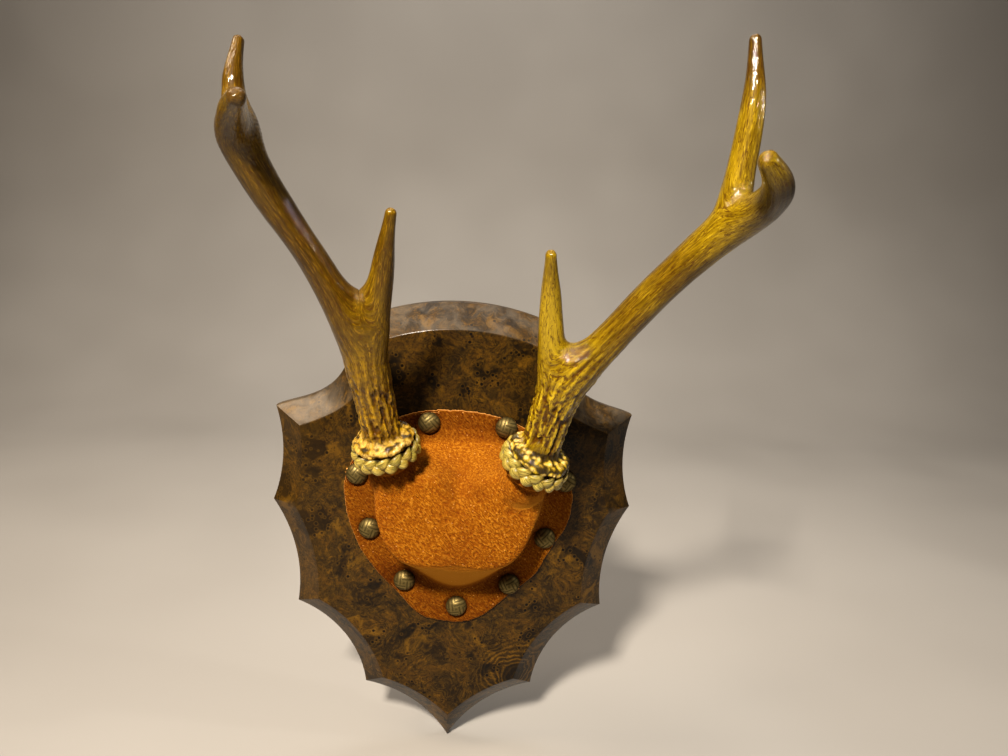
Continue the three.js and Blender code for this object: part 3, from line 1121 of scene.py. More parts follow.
@dataclass
class BackScrews:
    """The two screws that come through the board from behind: low domed heads with a cross recess."""

    finish: ZincPlate = field(default_factory=ZincPlate)
    places: tuple = ((-26, 34), (32, 34))
    radius: float = 4.5
    top: float = -0.3
    # the head's profile: share of its radius, and depth under its top
    profile: tuple = ((0.25, 0.0), (0.6, -0.03), (0.86, -0.2), (0.97, -0.55), (1.0, -1.1), (1.0, -3.7))
    cross: tuple = (0.65, 2.5, 1.6)  # half width, half length and depth of the recess
    narrowing: tuple = (1.1, 0.75)  # of the recess, over its mouth and at its foot

    def arm(self, place: tuple[float, float], spin: Matrix, wide: float, tall: float) -> bpy.types.Object:
        """One arm of the cross, to cut with.

        Args:
            place: The screw's middle, as x and z.
            spin: How the cross is turned.
            wide: Half its width.
            tall: Half its length.

        Returns:
            The tool.
        """
        flat = [spin @ Vector(p) for p in ((-wide, -tall), (wide, -tall), (wide, tall), (-wide, tall))]
        levels = zip(self.narrowing, (self.top + 1, self.top - self.cross[2]))
        x, z = place
        rings = [np.array([(x + k * p.x, y, z + k * p.y) for p in flat]) for k, y in levels]
        return make_object("cross", loft(rings))

    def build(self) -> list[bpy.types.Object]:
        """Turns both heads and cuts their recesses.

        Returns:
            The two heads.
        """
        metal, made = self.finish.make(), []
        half, reach = self.cross[:2]
        for number, place in enumerate(self.places, 1):
            rings = [wall_ring(around(48), self.radius * r, place, self.top + y) for r, y in self.profile]
            screw = make_object(f"back_screw_head_{number}", loft(rings), metal)
            spin = Matrix.Rotation(0.5 * number, 2)
            carve(screw, [self.arm(place, spin, half, reach), self.arm(place, spin, reach, half)], 35)
            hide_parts(f"back_screw_{number}")
            made.append(screw)
        return made


# ---------------------------------------------------------------- antlers


@dataclass
class Run:
    """One bending, tapering length of antler, read off as close stations.

    Attributes:
        centre: Middle of each station.
        radius: Its radius.
        arc: Its distance along the antler.
        age: The same, with more on a tine once it is clear of its root, because a tine is smoother.
        ahead: Direction along the antler.
        across: Direction to one side.
        through: Direction square to both.
        spacing: Distance between stations.
    """

    centre: np.ndarray
    radius: np.ndarray
    arc: np.ndarray
    age: np.ndarray
    ahead: np.ndarray
    across: np.ndarray
    through: np.ndarray
    spacing: float

    @classmethod
    def along(
        cls, stations: tuple, start: float, first_arc: float = 0, ageing: float = 0, spacing: float = 1.4
    ) -> "Run":
        """Reads stations off closely.

        Args:
            stations: Places and radii of the antler, as x, y, z, radius.
            start: Where it starts, counted in stations.
            first_arc: Distance along the antler of its start.
            ageing: How much its age is ahead of its arc in the end.
            spacing: Distance between what is read off.

        Returns:
            The run, ending where its last ball just reaches the last station.
        """
        data = np.array(stations, float)
        fine = np.linspace(start, len(data) - 1, 2000)
        line = spline(data[:, :3], fine)
        arc = np.concatenate([[0], np.cumsum(np.linalg.norm(np.diff(line, axis=0), axis=1))])
        end = arc[-1] - data[-1, 3]
        at = np.interp(np.linspace(0, end, int(end / spacing) + 1), arc, fine)
        centre = spline(data[:, :3], at)
        after, before = np.minimum(at + 0.02, len(data) - 1), at - 0.02
        ahead = unit(spline(data[:, :3], after) - spline(data[:, :3], before))
        across = unit(np.array([1.0, 0, 0]) - ahead[:, :1] * ahead)
        steps = np.interp(at, fine, arc)
        age = first_arc + steps + ageing * smooth_step(steps, 10, 50)
        radius = even_spline(data[:, 3], at)
        return cls(centre, radius, first_arc + steps, age, ahead, across, np.cross(across, ahead), spacing)

    def tube(self, sides: int = 20, stride: int = 2) -> Shape:
        """A closed tube through it, to melt with others.

        Args:
            sides: Points round it.
            stride: Stations from one ring to the next.

        Returns:
            The tube.
        """
        turn = around(sides)[:, None]
        pick = list(range(0, len(self.centre), stride))
        rings = [
            self.centre[i] + self.radius[i] * (np.cos(turn) * self.across[i] + np.sin(turn) * self.through[i])
            for i in pick
        ]
        last, radius = pick[-1], self.radius[pick[-1]]
        for climb in (0.5, 0.87):
            shrink = math.sqrt(1 - climb * climb)
            rings.append(
                self.centre[last] + self.ahead[last] * radius * climb
                + radius * shrink * (np.cos(turn) * self.across[last] + np.sin(turn) * self.through[last])
            )
        return loft(rings)

    def nearest(self, points: np.ndarray) -> tuple[np.ndarray, np.ndarray, np.ndarray]:
        """Finds the skin near some points.

        Args:
            points: The points.

        Returns:
            How far each is outside the run's skin, the way out from it, and the nearest station.
        """
        index = nearest_ball(points, self.centre, self.radius)
        off = points - self.centre[index]
        half = 0.5 * self.spacing
        last = len(self.centre) - 1
        slip = np.clip((off * self.ahead[index]).sum(1), -half, np.where(index == last, 0, half))
        off -= slip[:, None] * self.ahead[index]
        away = np.linalg.norm(off, axis=1)
        growth = np.gradient(self.radius, self.arc)[index]
        return away - self.radius[index] - slip * growth, off / np.maximum(away, 1e-6)[:, None], index

    def straighten(self, points: np.ndarray, index: np.ndarray) -> np.ndarray:
        """The points as if the antler were straight: sideways, square to that, and along.

        Args:
            points: The points.
            index: Each one's nearest station.

        Returns:
            The straightened points.
        """
        off = points - self.centre[index]
        parts = [(off * d[index]).sum(1) for d in (self.across, self.through, self.ahead)]
        parts[2] = parts[2] + self.arc[index]
        return np.stack(parts, 1)


@dataclass(frozen=True)
class Patch:
    """A place on an antler where its colour or its skin differs.

    Attributes:
        kind: What it changes.
        centre: Its middle.
        size: Its reach along x, y and z.
        amount: How strong it is.
    """

    kind: Kind
    centre: tuple[float, float, float]
    size: tuple[float, float, float]
    amount: float = 1.0

    def weight(self, points: np.ndarray) -> np.ndarray:
        """Its strength at each point."""
        away = np.linalg.norm((points - np.array(self.centre)) / np.array(self.size), axis=1)
        return self.amount * (1 - smooth_step(away, 0.35, 1.0))


@dataclass(frozen=True)
class Beading:
    """A row of pearls round the burr, or a rope of them that runs into one.

    Attributes:
        count: How many.
        reach: How far out from the burr's rim, or from the neck.
        height: How far up the antler.
        radius: Of one pearl.
        on_rim: Whether reach is counted from the burr's rim.
        scatter: How irregular the row is; 0 makes a rope.
        swing: How far a rope waves up and down.
        waves: How many times it does so.
    """

    count: int
    reach: float
    height: float
    radius: float
    on_rim: bool = True
    scatter: float = 1.0
    swing: float = 0.0
    waves: int = 6


@dataclass
class Antler:
    """One antler with its burr, beam, brow tine and upper tine as a single skin, and its burr's frame."""

    side: Side
    finish: VarnishedAntler
    lean: tuple[float, float]
    burr_radius: float
    braid_radius: float
    beam: tuple
    brow_tine: tuple
    upper_tine: tuple
    beading: tuple[Beading, ...]
    ridges: int  # lengthwise ridges round the foot
    columns: int  # columns of bone that run down the neck into the crown
    cream_top: float  # how far up the antler its pearls are cream
    patches: tuple[Patch, ...] = ()
    web: float = 8.0  # how softly the tines run into the beam
    lead_in: float = 16.0  # how far back inside the beam a tine starts
    groove_depth: float = 1.0
    pitted: float = 0.65  # how much brown lies in its pits
    rough_reach: tuple[float, float] = (22, 110)  # from full roughness to none, up the antler
    mixing: float = 2.5  # how far skins mix where runs meet
    fineness: float = 0.5
    seed: float = 1.0

    def burr_frame(self) -> tuple[np.ndarray, np.ndarray]:
        """Middle of the burr's foot, and its two side directions and axis as columns.

        Returns:
            The middle, and the directions as a matrix.
        """
        side, front = (math.radians(a) for a in self.lean)
        axis = Vector((math.sin(side) * math.cos(front), -math.sin(front), math.cos(side) * math.cos(front)))
        turn = Vector((0, 0, 1)).rotation_difference(axis).to_matrix()
        return np.array(self.beam[0][:3], float), np.array(turn)

    def runs(self) -> dict[str, Run]:
        """The beam and the tines.

        Returns:
            The runs by name.
        """
        beam = Run.along(self.beam, 0.1)
        made = {"beam": beam}
        for name, stations, ageing in (("brow", self.brow_tine, 25.0), ("upper", self.upper_tine, 30.0)):
            # the tine's line is led in from inside the beam, so that the two flow together
            root = beam.nearest(np.array([stations[0][:3]], float))[2][0]
            lead = max(root - round(self.lead_in / beam.spacing), 0)
            first = (*beam.centre[lead], 0.8 * min(beam.radius[lead], stations[0][3]))
            made[name] = Run.along((first, *stations), 0, beam.arc[lead], ageing)
        return made

    def pearls(self) -> tuple[np.ndarray, np.ndarray]:
        """Centres and radii of the balls that make the burr's pearls and its knobbly ropes of bone.

        Returns:
            The centres and the radii.
        """
        origin, turn = self.burr_frame()
        rng = np.random.default_rng(int(10 * self.seed))
        centres, radii = [], []

        def add(angle: float, out: float, up: float, radius: float) -> None:
            """Adds one ball."""
            centres.append(origin + turn @ np.array([out * math.cos(angle), out * math.sin(angle), up]))
            radii.append(radius)

        for row in self.beading:
            reach = row.reach + (self.burr_radius if row.on_rim else self.beam[0][3])
            for i in range(row.count):
                angle = 2 * math.pi * (i + row.scatter * rng.uniform(-0.3, 0.3)) / row.count
                wave = math.sin(row.waves * angle + row.height)
                wave += 0.6 * math.sin((row.waves + 4) * angle + self.seed)
                out = reach + row.scatter * rng.uniform(-0.6, 0.5) + 0.25 * row.swing * math.cos(5 * angle)
                up = row.height + row.scatter * rng.uniform(-0.9, 0.9) + row.swing * wave
                share = rng.uniform(0.65, 1.2) if row.scatter else 1 + 0.16 * math.sin(11 * angle)
                add(angle, out, up, row.radius * share)
        neck, crown = self.beam[0][3] - 0.5, 8.4
        for i in range(self.columns):
            angle = 2 * math.pi * (i + rng.uniform(-0.3, 0.3)) / self.columns
            foot = self.burr_radius - rng.uniform(2.6, 5.2)
            head, thick = rng.uniform(14, 20), rng.uniform(0.8, 1.35)
            for turned in np.linspace(0, math.pi / 2, 16):
                out = neck + (foot - neck) * (1 - math.cos(turned))
                up = crown + (head - crown) * (1 - math.sin(turned))
                angle += rng.uniform(-0.03, 0.03)
                add(angle, out, up, thick * rng.uniform(0.85, 1.1))
        return np.array(centres), np.array(radii)

    def burr_disc(self, points: np.ndarray) -> np.ndarray:
        """How far each point is outside the rounded disc under the pearls.

        Args:
            points: The points.

        Returns:
            The distances, below 0 inside.
        """
        origin, turn = self.burr_frame()
        middle, flat, rounding = 6.2, 0.8, 2.0
        x, y, up = ((points - origin) @ turn).T
        wavy = 0.5 * np.cos(7 * np.arctan2(y, x) + self.seed)
        out = np.maximum(np.hypot(x, y) - (self.burr_radius - 3.0 + wavy), 0)
        thick = np.maximum(np.abs(up - middle) - flat, 0)
        return np.hypot(out, thick) - rounding

    def skin_gap(
        self, points: np.ndarray, runs: dict[str, Run], pearls: tuple
    ) -> tuple[np.ndarray, np.ndarray]:
        """Finds the antler's skin near some points, with soft forks and beaded pearls.

        Args:
            points: The points.
            runs: The beam and the tines.
            pearls: Centres and radii of the pearls.

        Returns:
            How far each point is outside the skin, and the way out.
        """
        near, way = runs["beam"].nearest(points)[:2]
        for name in ("brow", "upper"):
            gap, out, index = runs[name].nearest(points)
            # firm where the tine is still inside the beam, so that the beam isn't swollen there
            past = smooth_step(index * runs[name].spacing, self.lead_in + 4, self.lead_in + 24)
            near, way = soft_meeting(near, way, gap, out, self.web * (0.35 + 0.65 * past))
        disc = self.burr_disc(points)
        step = 0.1
        slope = np.stack([self.burr_disc(points + step * axis) - disc for axis in np.eye(3)], 1) / step
        near, way = soft_meeting(near, way, disc, slope, 3.0)
        low = np.flatnonzero(disc < 16)
        if len(low):
            centres, radii = pearls
            index = nearest_ball(points[low], centres, radii)
            off = points[low] - centres[index]
            away = np.linalg.norm(off, axis=1)
            bead = away - radii[index], off / np.maximum(away, 1e-6)[:, None]
            near[low], way[low] = soft_meeting(near[low], way[low], *bead, 0.6)
        return near, way

    def project(self, points: np.ndarray, runs: dict[str, Run], pearls: tuple, rounds: int) -> np.ndarray:
        """Brings points onto the antler's skin.

        Args:
            points: The points.
            runs: The beam and the tines.
            pearls: Centres and radii of the pearls.
            rounds: How many times.

        Returns:
            The new places.
        """
        for _ in range(rounds):
            gap, way = self.skin_gap(points, runs, pearls)
            points = points - unit(way) * np.clip(gap, -1.5, 1.5)[:, None]
        return points

    def form(self, runs: dict[str, Run], pearls: tuple) -> tuple[bpy.types.Object, np.ndarray]:
        """Melts the runs into one skin, with rounded forks and pearls.

        Args:
            runs: The beam and the tines.
            pearls: Centres and radii of the pearls.

        Returns:
            The piece and its points.
        """
        origin, turn = self.burr_frame()
        burr = self.burr_radius
        profile = ((10.5, 1.0), (11, 3.5), (burr - 1.5, 4.8), (burr, 6.5), (burr - 1.5, 8.5), (9.5, 11.0))
        disc = [level_ring(around(40), reach, up) @ turn.T + origin for reach, up in profile]
        shapes = [run.tube() for run in runs.values()] + [loft(disc)]
        piece = fuse(f"antler_{self.side.value}", shapes, self.fineness)
        points = relax(piece, points_of(piece), 0.5, 4)
        gaps = [run.nearest(points)[0] for run in runs.values()]
        inside_fork = 1 - smooth_step(np.sort(gaps, axis=0)[1], 3, 9)
        for _ in range(4):
            # the points bunch up where a fork is rounded, so they are evened out on the way
            points = self.project(points, runs, pearls, 1)
            points = relax(piece, points, 0.12 + 0.38 * inside_fork, 5)
        points = self.project(points, runs, pearls, 2)
        move_points(piece, points)
        return piece, points

    def along_runs(self, points: np.ndarray, runs: dict[str, Run]) -> tuple[np.ndarray, np.ndarray]:
        """Each point's place along the run it lies on and its age, mixed where runs meet.

        Args:
            points: The points.
            runs: The beam and the tines.

        Returns:
            The places and the ages.
        """
        gaps, straight, ages = [], [], []
        for run in runs.values():
            gap, _, index = run.nearest(points)
            gaps.append(gap)
            straight.append(run.straighten(points, index))
            ages.append(run.age[index])
        share = np.exp(-(np.array(gaps) - np.min(gaps, axis=0)) / self.mixing)
        share /= share.sum(0)
        return sum(w[:, None] * s for w, s in zip(share, straight)), (share * ages).sum(0)

    def patchwork(self, points: np.ndarray) -> dict[Kind, np.ndarray]:
        """How strong each kind of patch is at each point.

        Args:
            points: The points.

        Returns:
            A strength for each point, by kind.
        """
        shows = {kind: np.zeros(len(points)) for kind in Kind}
        for patch in self.patches:
            shows[patch.kind] = np.maximum(shows[patch.kind], patch.weight(points))
        return shows

    def beaded(self, points: np.ndarray, age: np.ndarray, pearls: tuple) -> tuple[np.ndarray, np.ndarray]:
        """Where the cream pearls are round the burr, and the painted shade in the gaps between them.

        Args:
            points: The points.
            age: Their age along the antler.
            pearls: Centres and radii of the pearls.

        Returns:
            How strongly the pearls show, and the painted shade in the gaps.
        """
        pearl, gully = np.zeros(len(points)), np.zeros(len(points))
        low = self.burr_disc(points) < 12
        centres, radii = pearls
        nearest = nearest_ball(points[low], centres, radii)
        off = np.linalg.norm(points[low] - centres[nearest], axis=1) - radii[nearest]
        top = self.cream_top
        gully[low] = smooth_step(off, 0.35, 1.0) * (1 - smooth_step(age[low], top - 1, top + 3))
        pearl[low] = 0.8 * (1 - smooth_step(off, 0.0, 0.35)) * (1 - smooth_step(age[low], top, top + 3))
        return pearl, gully

    def skin(self) -> bpy.types.Object:
        """Melts, rounds, grooves and varnishes the antler.

        Returns:
            The antler.
        """
        runs, pearls = self.runs(), self.pearls()
        piece, points = self.form(runs, pearls)
        run_at, age = self.along_runs(points, runs)
        shows = self.patchwork(points)
        calm = 1 - shows[Kind.CALM]
        round_about = unit(run_at[:, :2])

        def figure(across: float, along: float, seed: float) -> np.ndarray:
            """Noise with spots so wide round the antler, in its radii, and so long, in mm."""
            return noise_at(np.column_stack([round_about / across, run_at[:, 2] / along]), self.seed + seed)

        # lengthwise ridges by the burr, with pits between them, fading out up the antler
        strength = 0.06 + 0.94 * (1 - smooth_step(age, *self.rough_reach)) ** 1.5
        bare = smooth_step(age, 5, 11) * calm
        wander = 2.6 * figure(0.7, 24, 3) + 0.9 * figure(0.33, 7, 5)
        ridge = np.cos(self.ridges * np.arctan2(round_about[:, 1], round_about[:, 0]) + wander)
        valley = (0.5 - 0.5 * ridge) ** 1.7 * (0.2 + 0.7 * smooth_step(figure(0.45, 12, 7), -0.3, 0.35))
        valley *= 1 - 0.6 * smooth_step(age, 18, 48)
        seams = 1 - smooth_step(np.abs(figure(0.48, 30, 0)), 0, 0.15)
        pits = smooth_step(figure(0.26, 6.5, 21), 0.12, 0.4) * (1 - smooth_step(age, 25, 62))
        lump = noise_at(points / 2.0, self.seed + 60)
        dent = bare * (strength * self.groove_depth * (1.25 * valley + 0.7 * seams) + 1.1 * pits)
        swell = 0.35 * figure(0.77, 18, 40) * smooth_step(age, 8, 20) + 0.42 * lump * strength
        points = relax(piece, points + normals_of(piece) * (swell - dent)[:, None], 0.25, 1)
        move_points(piece, points)

        brown = strength * (0.85 * valley**2 + 0.5 * seams**3)
        brown += self.pitted * (pits + 0.75 * strength * smooth_step(-lump, 0.1, 0.4))
        crest = strength * calm * (0.5 + 0.5 * ridge) ** 2
        pearl, gully = self.beaded(points, age, pearls)
        layers = {
            "groove": np.minimum(bare * brown, 0.9),
            "gully": np.minimum(gully, 0.88),
            "pearl": pearl,
            "rough_end": strength,
            Kind.PALE.value: np.maximum(shows[Kind.PALE], crest),
            Kind.DARK.value: shows[Kind.DARK],
            Kind.GREY.value: shows[Kind.GREY],
        }
        for name, values in layers.items():
            carry(piece, name, np.clip(values, 0, 1))
        carry(piece, "run", run_at)
        piece.data.materials.append(self.finish.make())
        parts = ("base", "upper_beam", "beam_tip", "brow_tine", "upper_tine")
        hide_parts(*(f"antler_{self.side.value}_{part}" for part in parts))
        return piece


@dataclass
class Plait:
    """A three-strand plait that goes round an antler's foot, under its burr."""

    antler: Antler
    finish: bpy.types.Material
    half_height: float = 2.35  # how far the strands swing along the axis
    half_depth: float = 1.2  # and towards and away from it
    strand: tuple[float, float] = (2.3, 1.05)  # half width and half thickness of a strand
    swings: int = 5  # of each strand, once round
    radial: float = 2.9  # from the plait's outside to its middle
    shift: float = 0.3  # up the antler
    steps: int = 400
    sides: int = 16

    def build(self) -> bpy.types.Object:
        """Lays the three strands and joins them.

        Returns:
            The plait.
        """
        origin, turn = self.antler.burr_frame()
        middle = self.antler.braid_radius - self.radial
        t, ring = around(self.steps), around(self.sides)
        out, brink = level_ring(t, 1, 0), 0.75 * smooth_step(np.abs(np.cos(ring)), 0.86, 1)
        shapes, run, deep = [], [], []

        def swing(angle: np.ndarray, phase: float) -> np.ndarray:
            """Where a strand's middle is at these angles.

            Args:
                angle: The angles.
                phase: How far ahead the strand is.

            Returns:
                The places.
            """
            beat = self.swings * angle + phase
            reach = middle + self.half_depth * np.sin(2 * beat)
            return level_ring(angle, reach, self.shift + self.half_height * np.sin(beat))

        for number in range(3):
            phase = 2 * math.pi * number / 3 + 0.4
            line = swing(t, phase)
            ahead = unit(swing(t + 1e-3, phase) - swing(t - 1e-3, phase))
            face = unit(out - (out * ahead).sum(1, keepdims=True) * ahead)
            flank = np.cross(ahead, face)
            on_top = np.sin(2 * (self.swings * t + phase))
            arc = np.concatenate([[0], np.cumsum(np.linalg.norm(np.diff(line, axis=0), axis=1))])
            ripple = 1 + 0.03 * np.cos(9 * ring + number)
            rows = []
            for i, top in enumerate(on_top):
                wide, thick = (size * (0.84 + 0.3 * top) for size in self.strand)
                offset = wide * (np.cos(ring) * ripple)[:, None] * flank[i]
                offset = offset + thick * (np.sin(ring) * ripple)[:, None] * face[i]
                rows.append((line[i] + offset) @ turn.T + origin)
                across = wide * np.cos(ring) + 20 * number
                run.append(np.stack([across, thick * np.sin(ring), np.full(self.sides, arc[i])], 1))
                # painted shade where the strand lies low, under the others, and along its edges
                reach = self.half_depth * top + thick * np.sin(ring)
                deep.append(np.maximum(1 - smooth_step(reach, -0.5, 0.7), brink))
            last, sides = (self.steps - 1) * self.sides, self.sides
            seam = [(last + c, last + (c + 1) % sides, (c + 1) % sides, c) for c in range(sides)]
            shapes.append((np.concatenate(rows), lattice(self.steps, sides) + seam))
        name = self.antler.side.value
        piece = make_object(f"plait_{name}", join(shapes), self.finish)
        face_outward(piece)
        carry(piece, "run", np.concatenate(run))
        carry(piece, "deep", np.clip(np.concatenate(deep), 0, 0.92))
        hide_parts(f"braid_{name}")
        return piece


# ---------------------------------------------------------------- the suede cover


@dataclass(frozen=True)
class Spot:
    """A soft round or oval place on the cover, as seen from the front.

    Attributes:
        x: Its middle, sideways.
        z: Its middle, up.
        wide: Its reach sideways.
        tall: Its reach up and down.
        strength: How strong it is in the middle.
    """

    x: float
    z: float
    wide: float
    tall: float
    strength: float

    def weight(self, points: np.ndarray) -> np.ndarray:
        """How strong it is at each point."""
        across, up = (points[:, 0] - self.x) / self.wide, (points[:, 2] - self.z) / self.tall
        return self.strength * np.exp(-(across**2) - up**2)


@dataclass
class SuedeCover:
    """Suede stretched over the skull plate and its filler, up to the plaits, and nailed round its rim."""

    antlers: tuple[Antler, ...]
    nails: tuple
    finish: Suede = field(default_factory=Suede)
    centre: tuple[float, float] = (3, 20)
    leather: float = 1.6
    thickness: float = 1.3
    flat: tuple[float, float] = (168, 170)
    flat_area: float = 20500
    height: float = 33.0
    crowning: float = 2.2
    # the rim as degrees anticlockwise from +X, and distance from the centre
    rim: tuple = (
        (-173, 61.3), (-164, 60.1), (-155, 59.6), (-144, 58.9), (-135, 59.3), (-125, 60.5), (-119, 62.3),
        (-111, 66.5), (-105, 68.5), (-97, 68.6), (-90, 69.4), (-83, 68.9), (-76, 66.4), (-68, 62.7),
        (-59, 59.6), (-48, 58.9), (-39, 58.8), (-30, 57.3), (-19, 58.2), (-10, 61.2), (-1, 63), (9, 64.3),
        (17, 64.6), (23.5, 64.5), (40, 61.5), (57, 58.9), (66, 57.9), (74, 57.2), (85, 56.9), (96, 57.3),
        (107, 59.2), (114, 60.7), (122, 62.1), (135, 63.4), (149, 64.8), (162, 65.1), (167, 65.1),
        (176, 63.1),
    )
    # distances every 30 degrees: the dome's foot, and the edge of its top
    foot: tuple = (46, 54, 47, 45, 46, 52, 43.5, 43.5, 45.5, 50.5, 45.5, 43.5)
    top: tuple = (38, 46, 34, 19, 34, 46, 40.5, 34, 24, 20, 25, 33)
    wall: tuple = ((1, 1), (1.15, 0.88), (1.45, 0.52), (1.8, 0.12), (2, 0))  # ring, and share of the height
    pedicles: tuple = (
        ((-27, -32, 38, 14), (-32, -43, 51, 13.5), (-33.6, -48, 58, 12)),
        ((31, -34, 36, 15), (36.5, -47, 49, 14), (39, -54, 56, 12.5)),
    )
    fineness: float = 0.7
    # a shallow V between the antlers' feet
    dents: tuple = (Spot(-4, 48, 6, 8, 1.1), Spot(11, 44, 5, 9, 1.0), Spot(3.5, 37, 3, 5, 0.6))
    # painted light and shade on the hide: painted light on the crown, which faces up, and on the right wall;
    # then painted light low at the dome's foot, painted shade in the two dents and in a darker spot low on
    # the left, and one light scratch
    crown_light: Spot = Spot(2, 60, 17, 13, 0.9)
    wall_light: Spot = Spot(52, 20, 9, 24, 0.9)
    shading_and_scratch_spots: tuple = (
        Spot(4, -31, 28, 4, 0.4), Spot(-33, -20, 5, 5, -0.9), Spot(-3, 44, 7, 7, -0.55),
        Spot(13, 43, 6, 6, -0.4), Spot(4, 38, 3, 3, 0.3),
    )

    def reach(self, distances: tuple, angle: np.ndarray) -> np.ndarray:
        """A distance every 30 degrees, read at any angle."""
        places = (angle / (2 * math.pi) % 1) * len(distances)
        return even_spline(np.array(distances, float), places, closed=True)

    def rim_at(self, angle: np.ndarray) -> np.ndarray:
        """The rim's distance from the centre at any angle."""
        degrees, distance = np.array(self.rim, float).T
        return np.interp(np.degrees(angle) % 360, degrees % 360, distance, period=360)

    def dome(self) -> Shape:
        """The flange and the dome as a closed shape.

        Returns:
            The shape.
        """
        angle = around(240)
        ring_at, climb_at = zip(*self.wall)
        reaches = [0 * angle, self.reach(self.top, angle), self.reach(self.foot, angle), self.rim_at(angle)]
        # each ring as its place between those, from 3 at the rim to 0, and its height over the board
        stops = [(3, 0.3), (3, 0.9), (2.99, 1.35), (2.975, 1.55), (2.95, self.leather)]
        stops += [(k, self.leather) for k in (2.8, 2.6, 2.4, 2.2)]
        for k in np.linspace(2.1, 0.9, 25):
            # the leather rounds off the wall's foot and shoulder
            spread = np.interp(np.linspace(k - 0.14, k + 0.14, 9), ring_at, climb_at)
            stops.append((k, self.leather + (self.height - self.leather) * float(spread.mean())))
        stops += [(k, self.height + self.crowning * (1 - k * k)) for k in (0.75, 0.6, 0.45, 0.3, 0.15, 0.03)]
        rings = []
        for ring, up in stops:
            inner = min(int(ring), 2)
            away = reaches[inner] + (reaches[inner + 1] - reaches[inner]) * (ring - inner)
            if 0.85 < ring < 1:
                up += self.crowning * (1 - ring * ring)
            rings.append(wall_ring(angle, away, self.centre, FRONT - up))
        return loft(rings)

    def collars(self) -> list[Shape]:
        """The leather up round the antlers' feet.

        Returns:
            Two shapes an antler.
        """
        shapes = []
        for antler, stations in zip(self.antlers, self.pedicles):
            shapes.append(Run.along(stations, 0).tube())
            origin, turn = antler.burr_frame()
            radius = antler.braid_radius - 5.8
            rings = [level_ring(around(36), radius, up) @ turn.T + origin for up in (-9, -4.5, 0.7)]
            shapes.append(loft(rings))
        return shapes

    def peel(self, piece: bpy.types.Object) -> np.ndarray:
        """Takes the leather's front off the solid that it was formed on.

        Args:
            piece: The formed solid.

        Returns:
            The points of what is left.
        """
        work = bmesh.new()
        work.from_mesh(piece.data)
        back = [f for f in work.faces if f.normal.y > 0.8 and f.calc_center_median().y > (FRONT - 0.4) * MM]
        bmesh.ops.delete(work, geom=back, context="FACES")
        work.to_mesh(piece.data)
        work.free()
        faces = piece.data.polygons
        log.info("leather: %.0f square mm over its front", sum(f.area for f in faces) / MM**2)
        return points_of(piece)

    def form(self) -> tuple[bpy.types.Object, np.ndarray]:
        """Forms the leather so that it bridges softly from the dome to the antlers' feet.

        Returns:
            The piece, and its points.
        """
        piece = fuse("suede_cover", [self.dome(), *self.collars()], self.fineness)
        move_points(piece, relax(piece, points_of(piece), 0.4, 2))
        points = self.peel(piece)
        soft = np.zeros(len(points))
        for stations in self.pedicles:
            for x, y, z, radius in stations[:2]:
                away = np.linalg.norm(points - np.array([x, y, z], float), axis=1)
                soft = np.maximum(soft, 1 - smooth_step(away, radius + 3, radius + 13))
        return piece, relax(piece, points, 0.5 * soft, 30)

    def build(self) -> bpy.types.Object:
        """Forms the leather, pinches it at the nails and gives it its nap.

        Returns:
            The cover.
        """
        piece, points = self.form()
        x, y, z = points.T
        cx, cz = self.centre
        angle = np.arctan2(z - cz, x - cx)
        away = np.hypot(x - cx, z - cz)
        rim = self.rim_at(angle)
        on_flange = smooth_step(y, -26, -20.5) * (y < FRONT - 0.8)
        plateau = smooth_step(-y, 40, 47)
        from_nails = [np.hypot(x - nx, z - nz) for nx, nz in self.nails]
        close = np.min(from_nails, axis=0)

        shift = sum(0.55 * (1 - smooth_step(gap, 4.5, 9)) for gap in from_nails) * on_flange
        # the rim lifts a little between nails, and the skin has soft waves
        ripple = noise_at(level_ring(angle, 3.1, 0), 3.0)
        lift = smooth_step(away, rim - 9, rim) * (0.45 + 0.6 * ripple)
        shift -= on_flange * np.clip(lift, 0, 1) * smooth_step(close, 6, 14)
        shift += plateau * sum(dent.weight(points) for dent in self.dents)
        shift += 0.5 * noise_at(points / 19, 5.0) * smooth_step(-y, 21, 30)
        tufts = 0.1 * noise_at(points / 0.95, 8.0) * (y < FRONT - 0.5)
        normal = normals_of(piece)
        move_points(piece, points + np.outer(shift, (0, 1, 0)) + normal * tufts[:, None])

        low_wall = -normal[:, 2]
        nap = 1 - 0.75 * smooth_step(low_wall, 0.3, 0.7) * smooth_step(-y, 21, 24)
        # painted light on the crown, which faces up, on the right wall and on the lower wall, which faces
        # down; the spots add painted light, painted shade and one light scratch
        tone = self.crown_light.weight(points) * plateau
        tone += self.wall_light.weight(points) * smooth_step(-y, 22, 34)
        tone += 0.8 * smooth_step(low_wall, 0.3, 0.8) * smooth_step(-y, 22, 27)
        tone += sum(mark.weight(points) for mark in self.shading_and_scratch_spots)
        # painted shade darkens the flange, most of all low down under the dome and round the nails, and
        # painted light lightens it at the right
        tone -= (0.55 + 0.1 * smooth_step(-z, 0, 30) + 0.35 * (1 - smooth_step(close, 6, 8.5))) * on_flange
        tone += 0.55 * smooth_step(x, 30, 50) * on_flange
        side_on = smooth_step(1 + normal[:, 1], 0.25, 0.8) * smooth_step(y, -21.5, -20.3)
        carry(piece, "nap", nap)
        carry(piece, "tone", np.clip(tone, -1, 1))
        carry(piece, "cut_edge", 0.75 * side_on * smooth_step(away, rim - 2, rim - 0.7))
        piece.data.materials.append(self.finish.make())
        skin = piece.modifiers.new("thickness", "SOLIDIFY")
        skin.thickness, skin.offset = self.thickness * MM, -1
        settle(piece)
        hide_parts("leather_cover")
        return piece


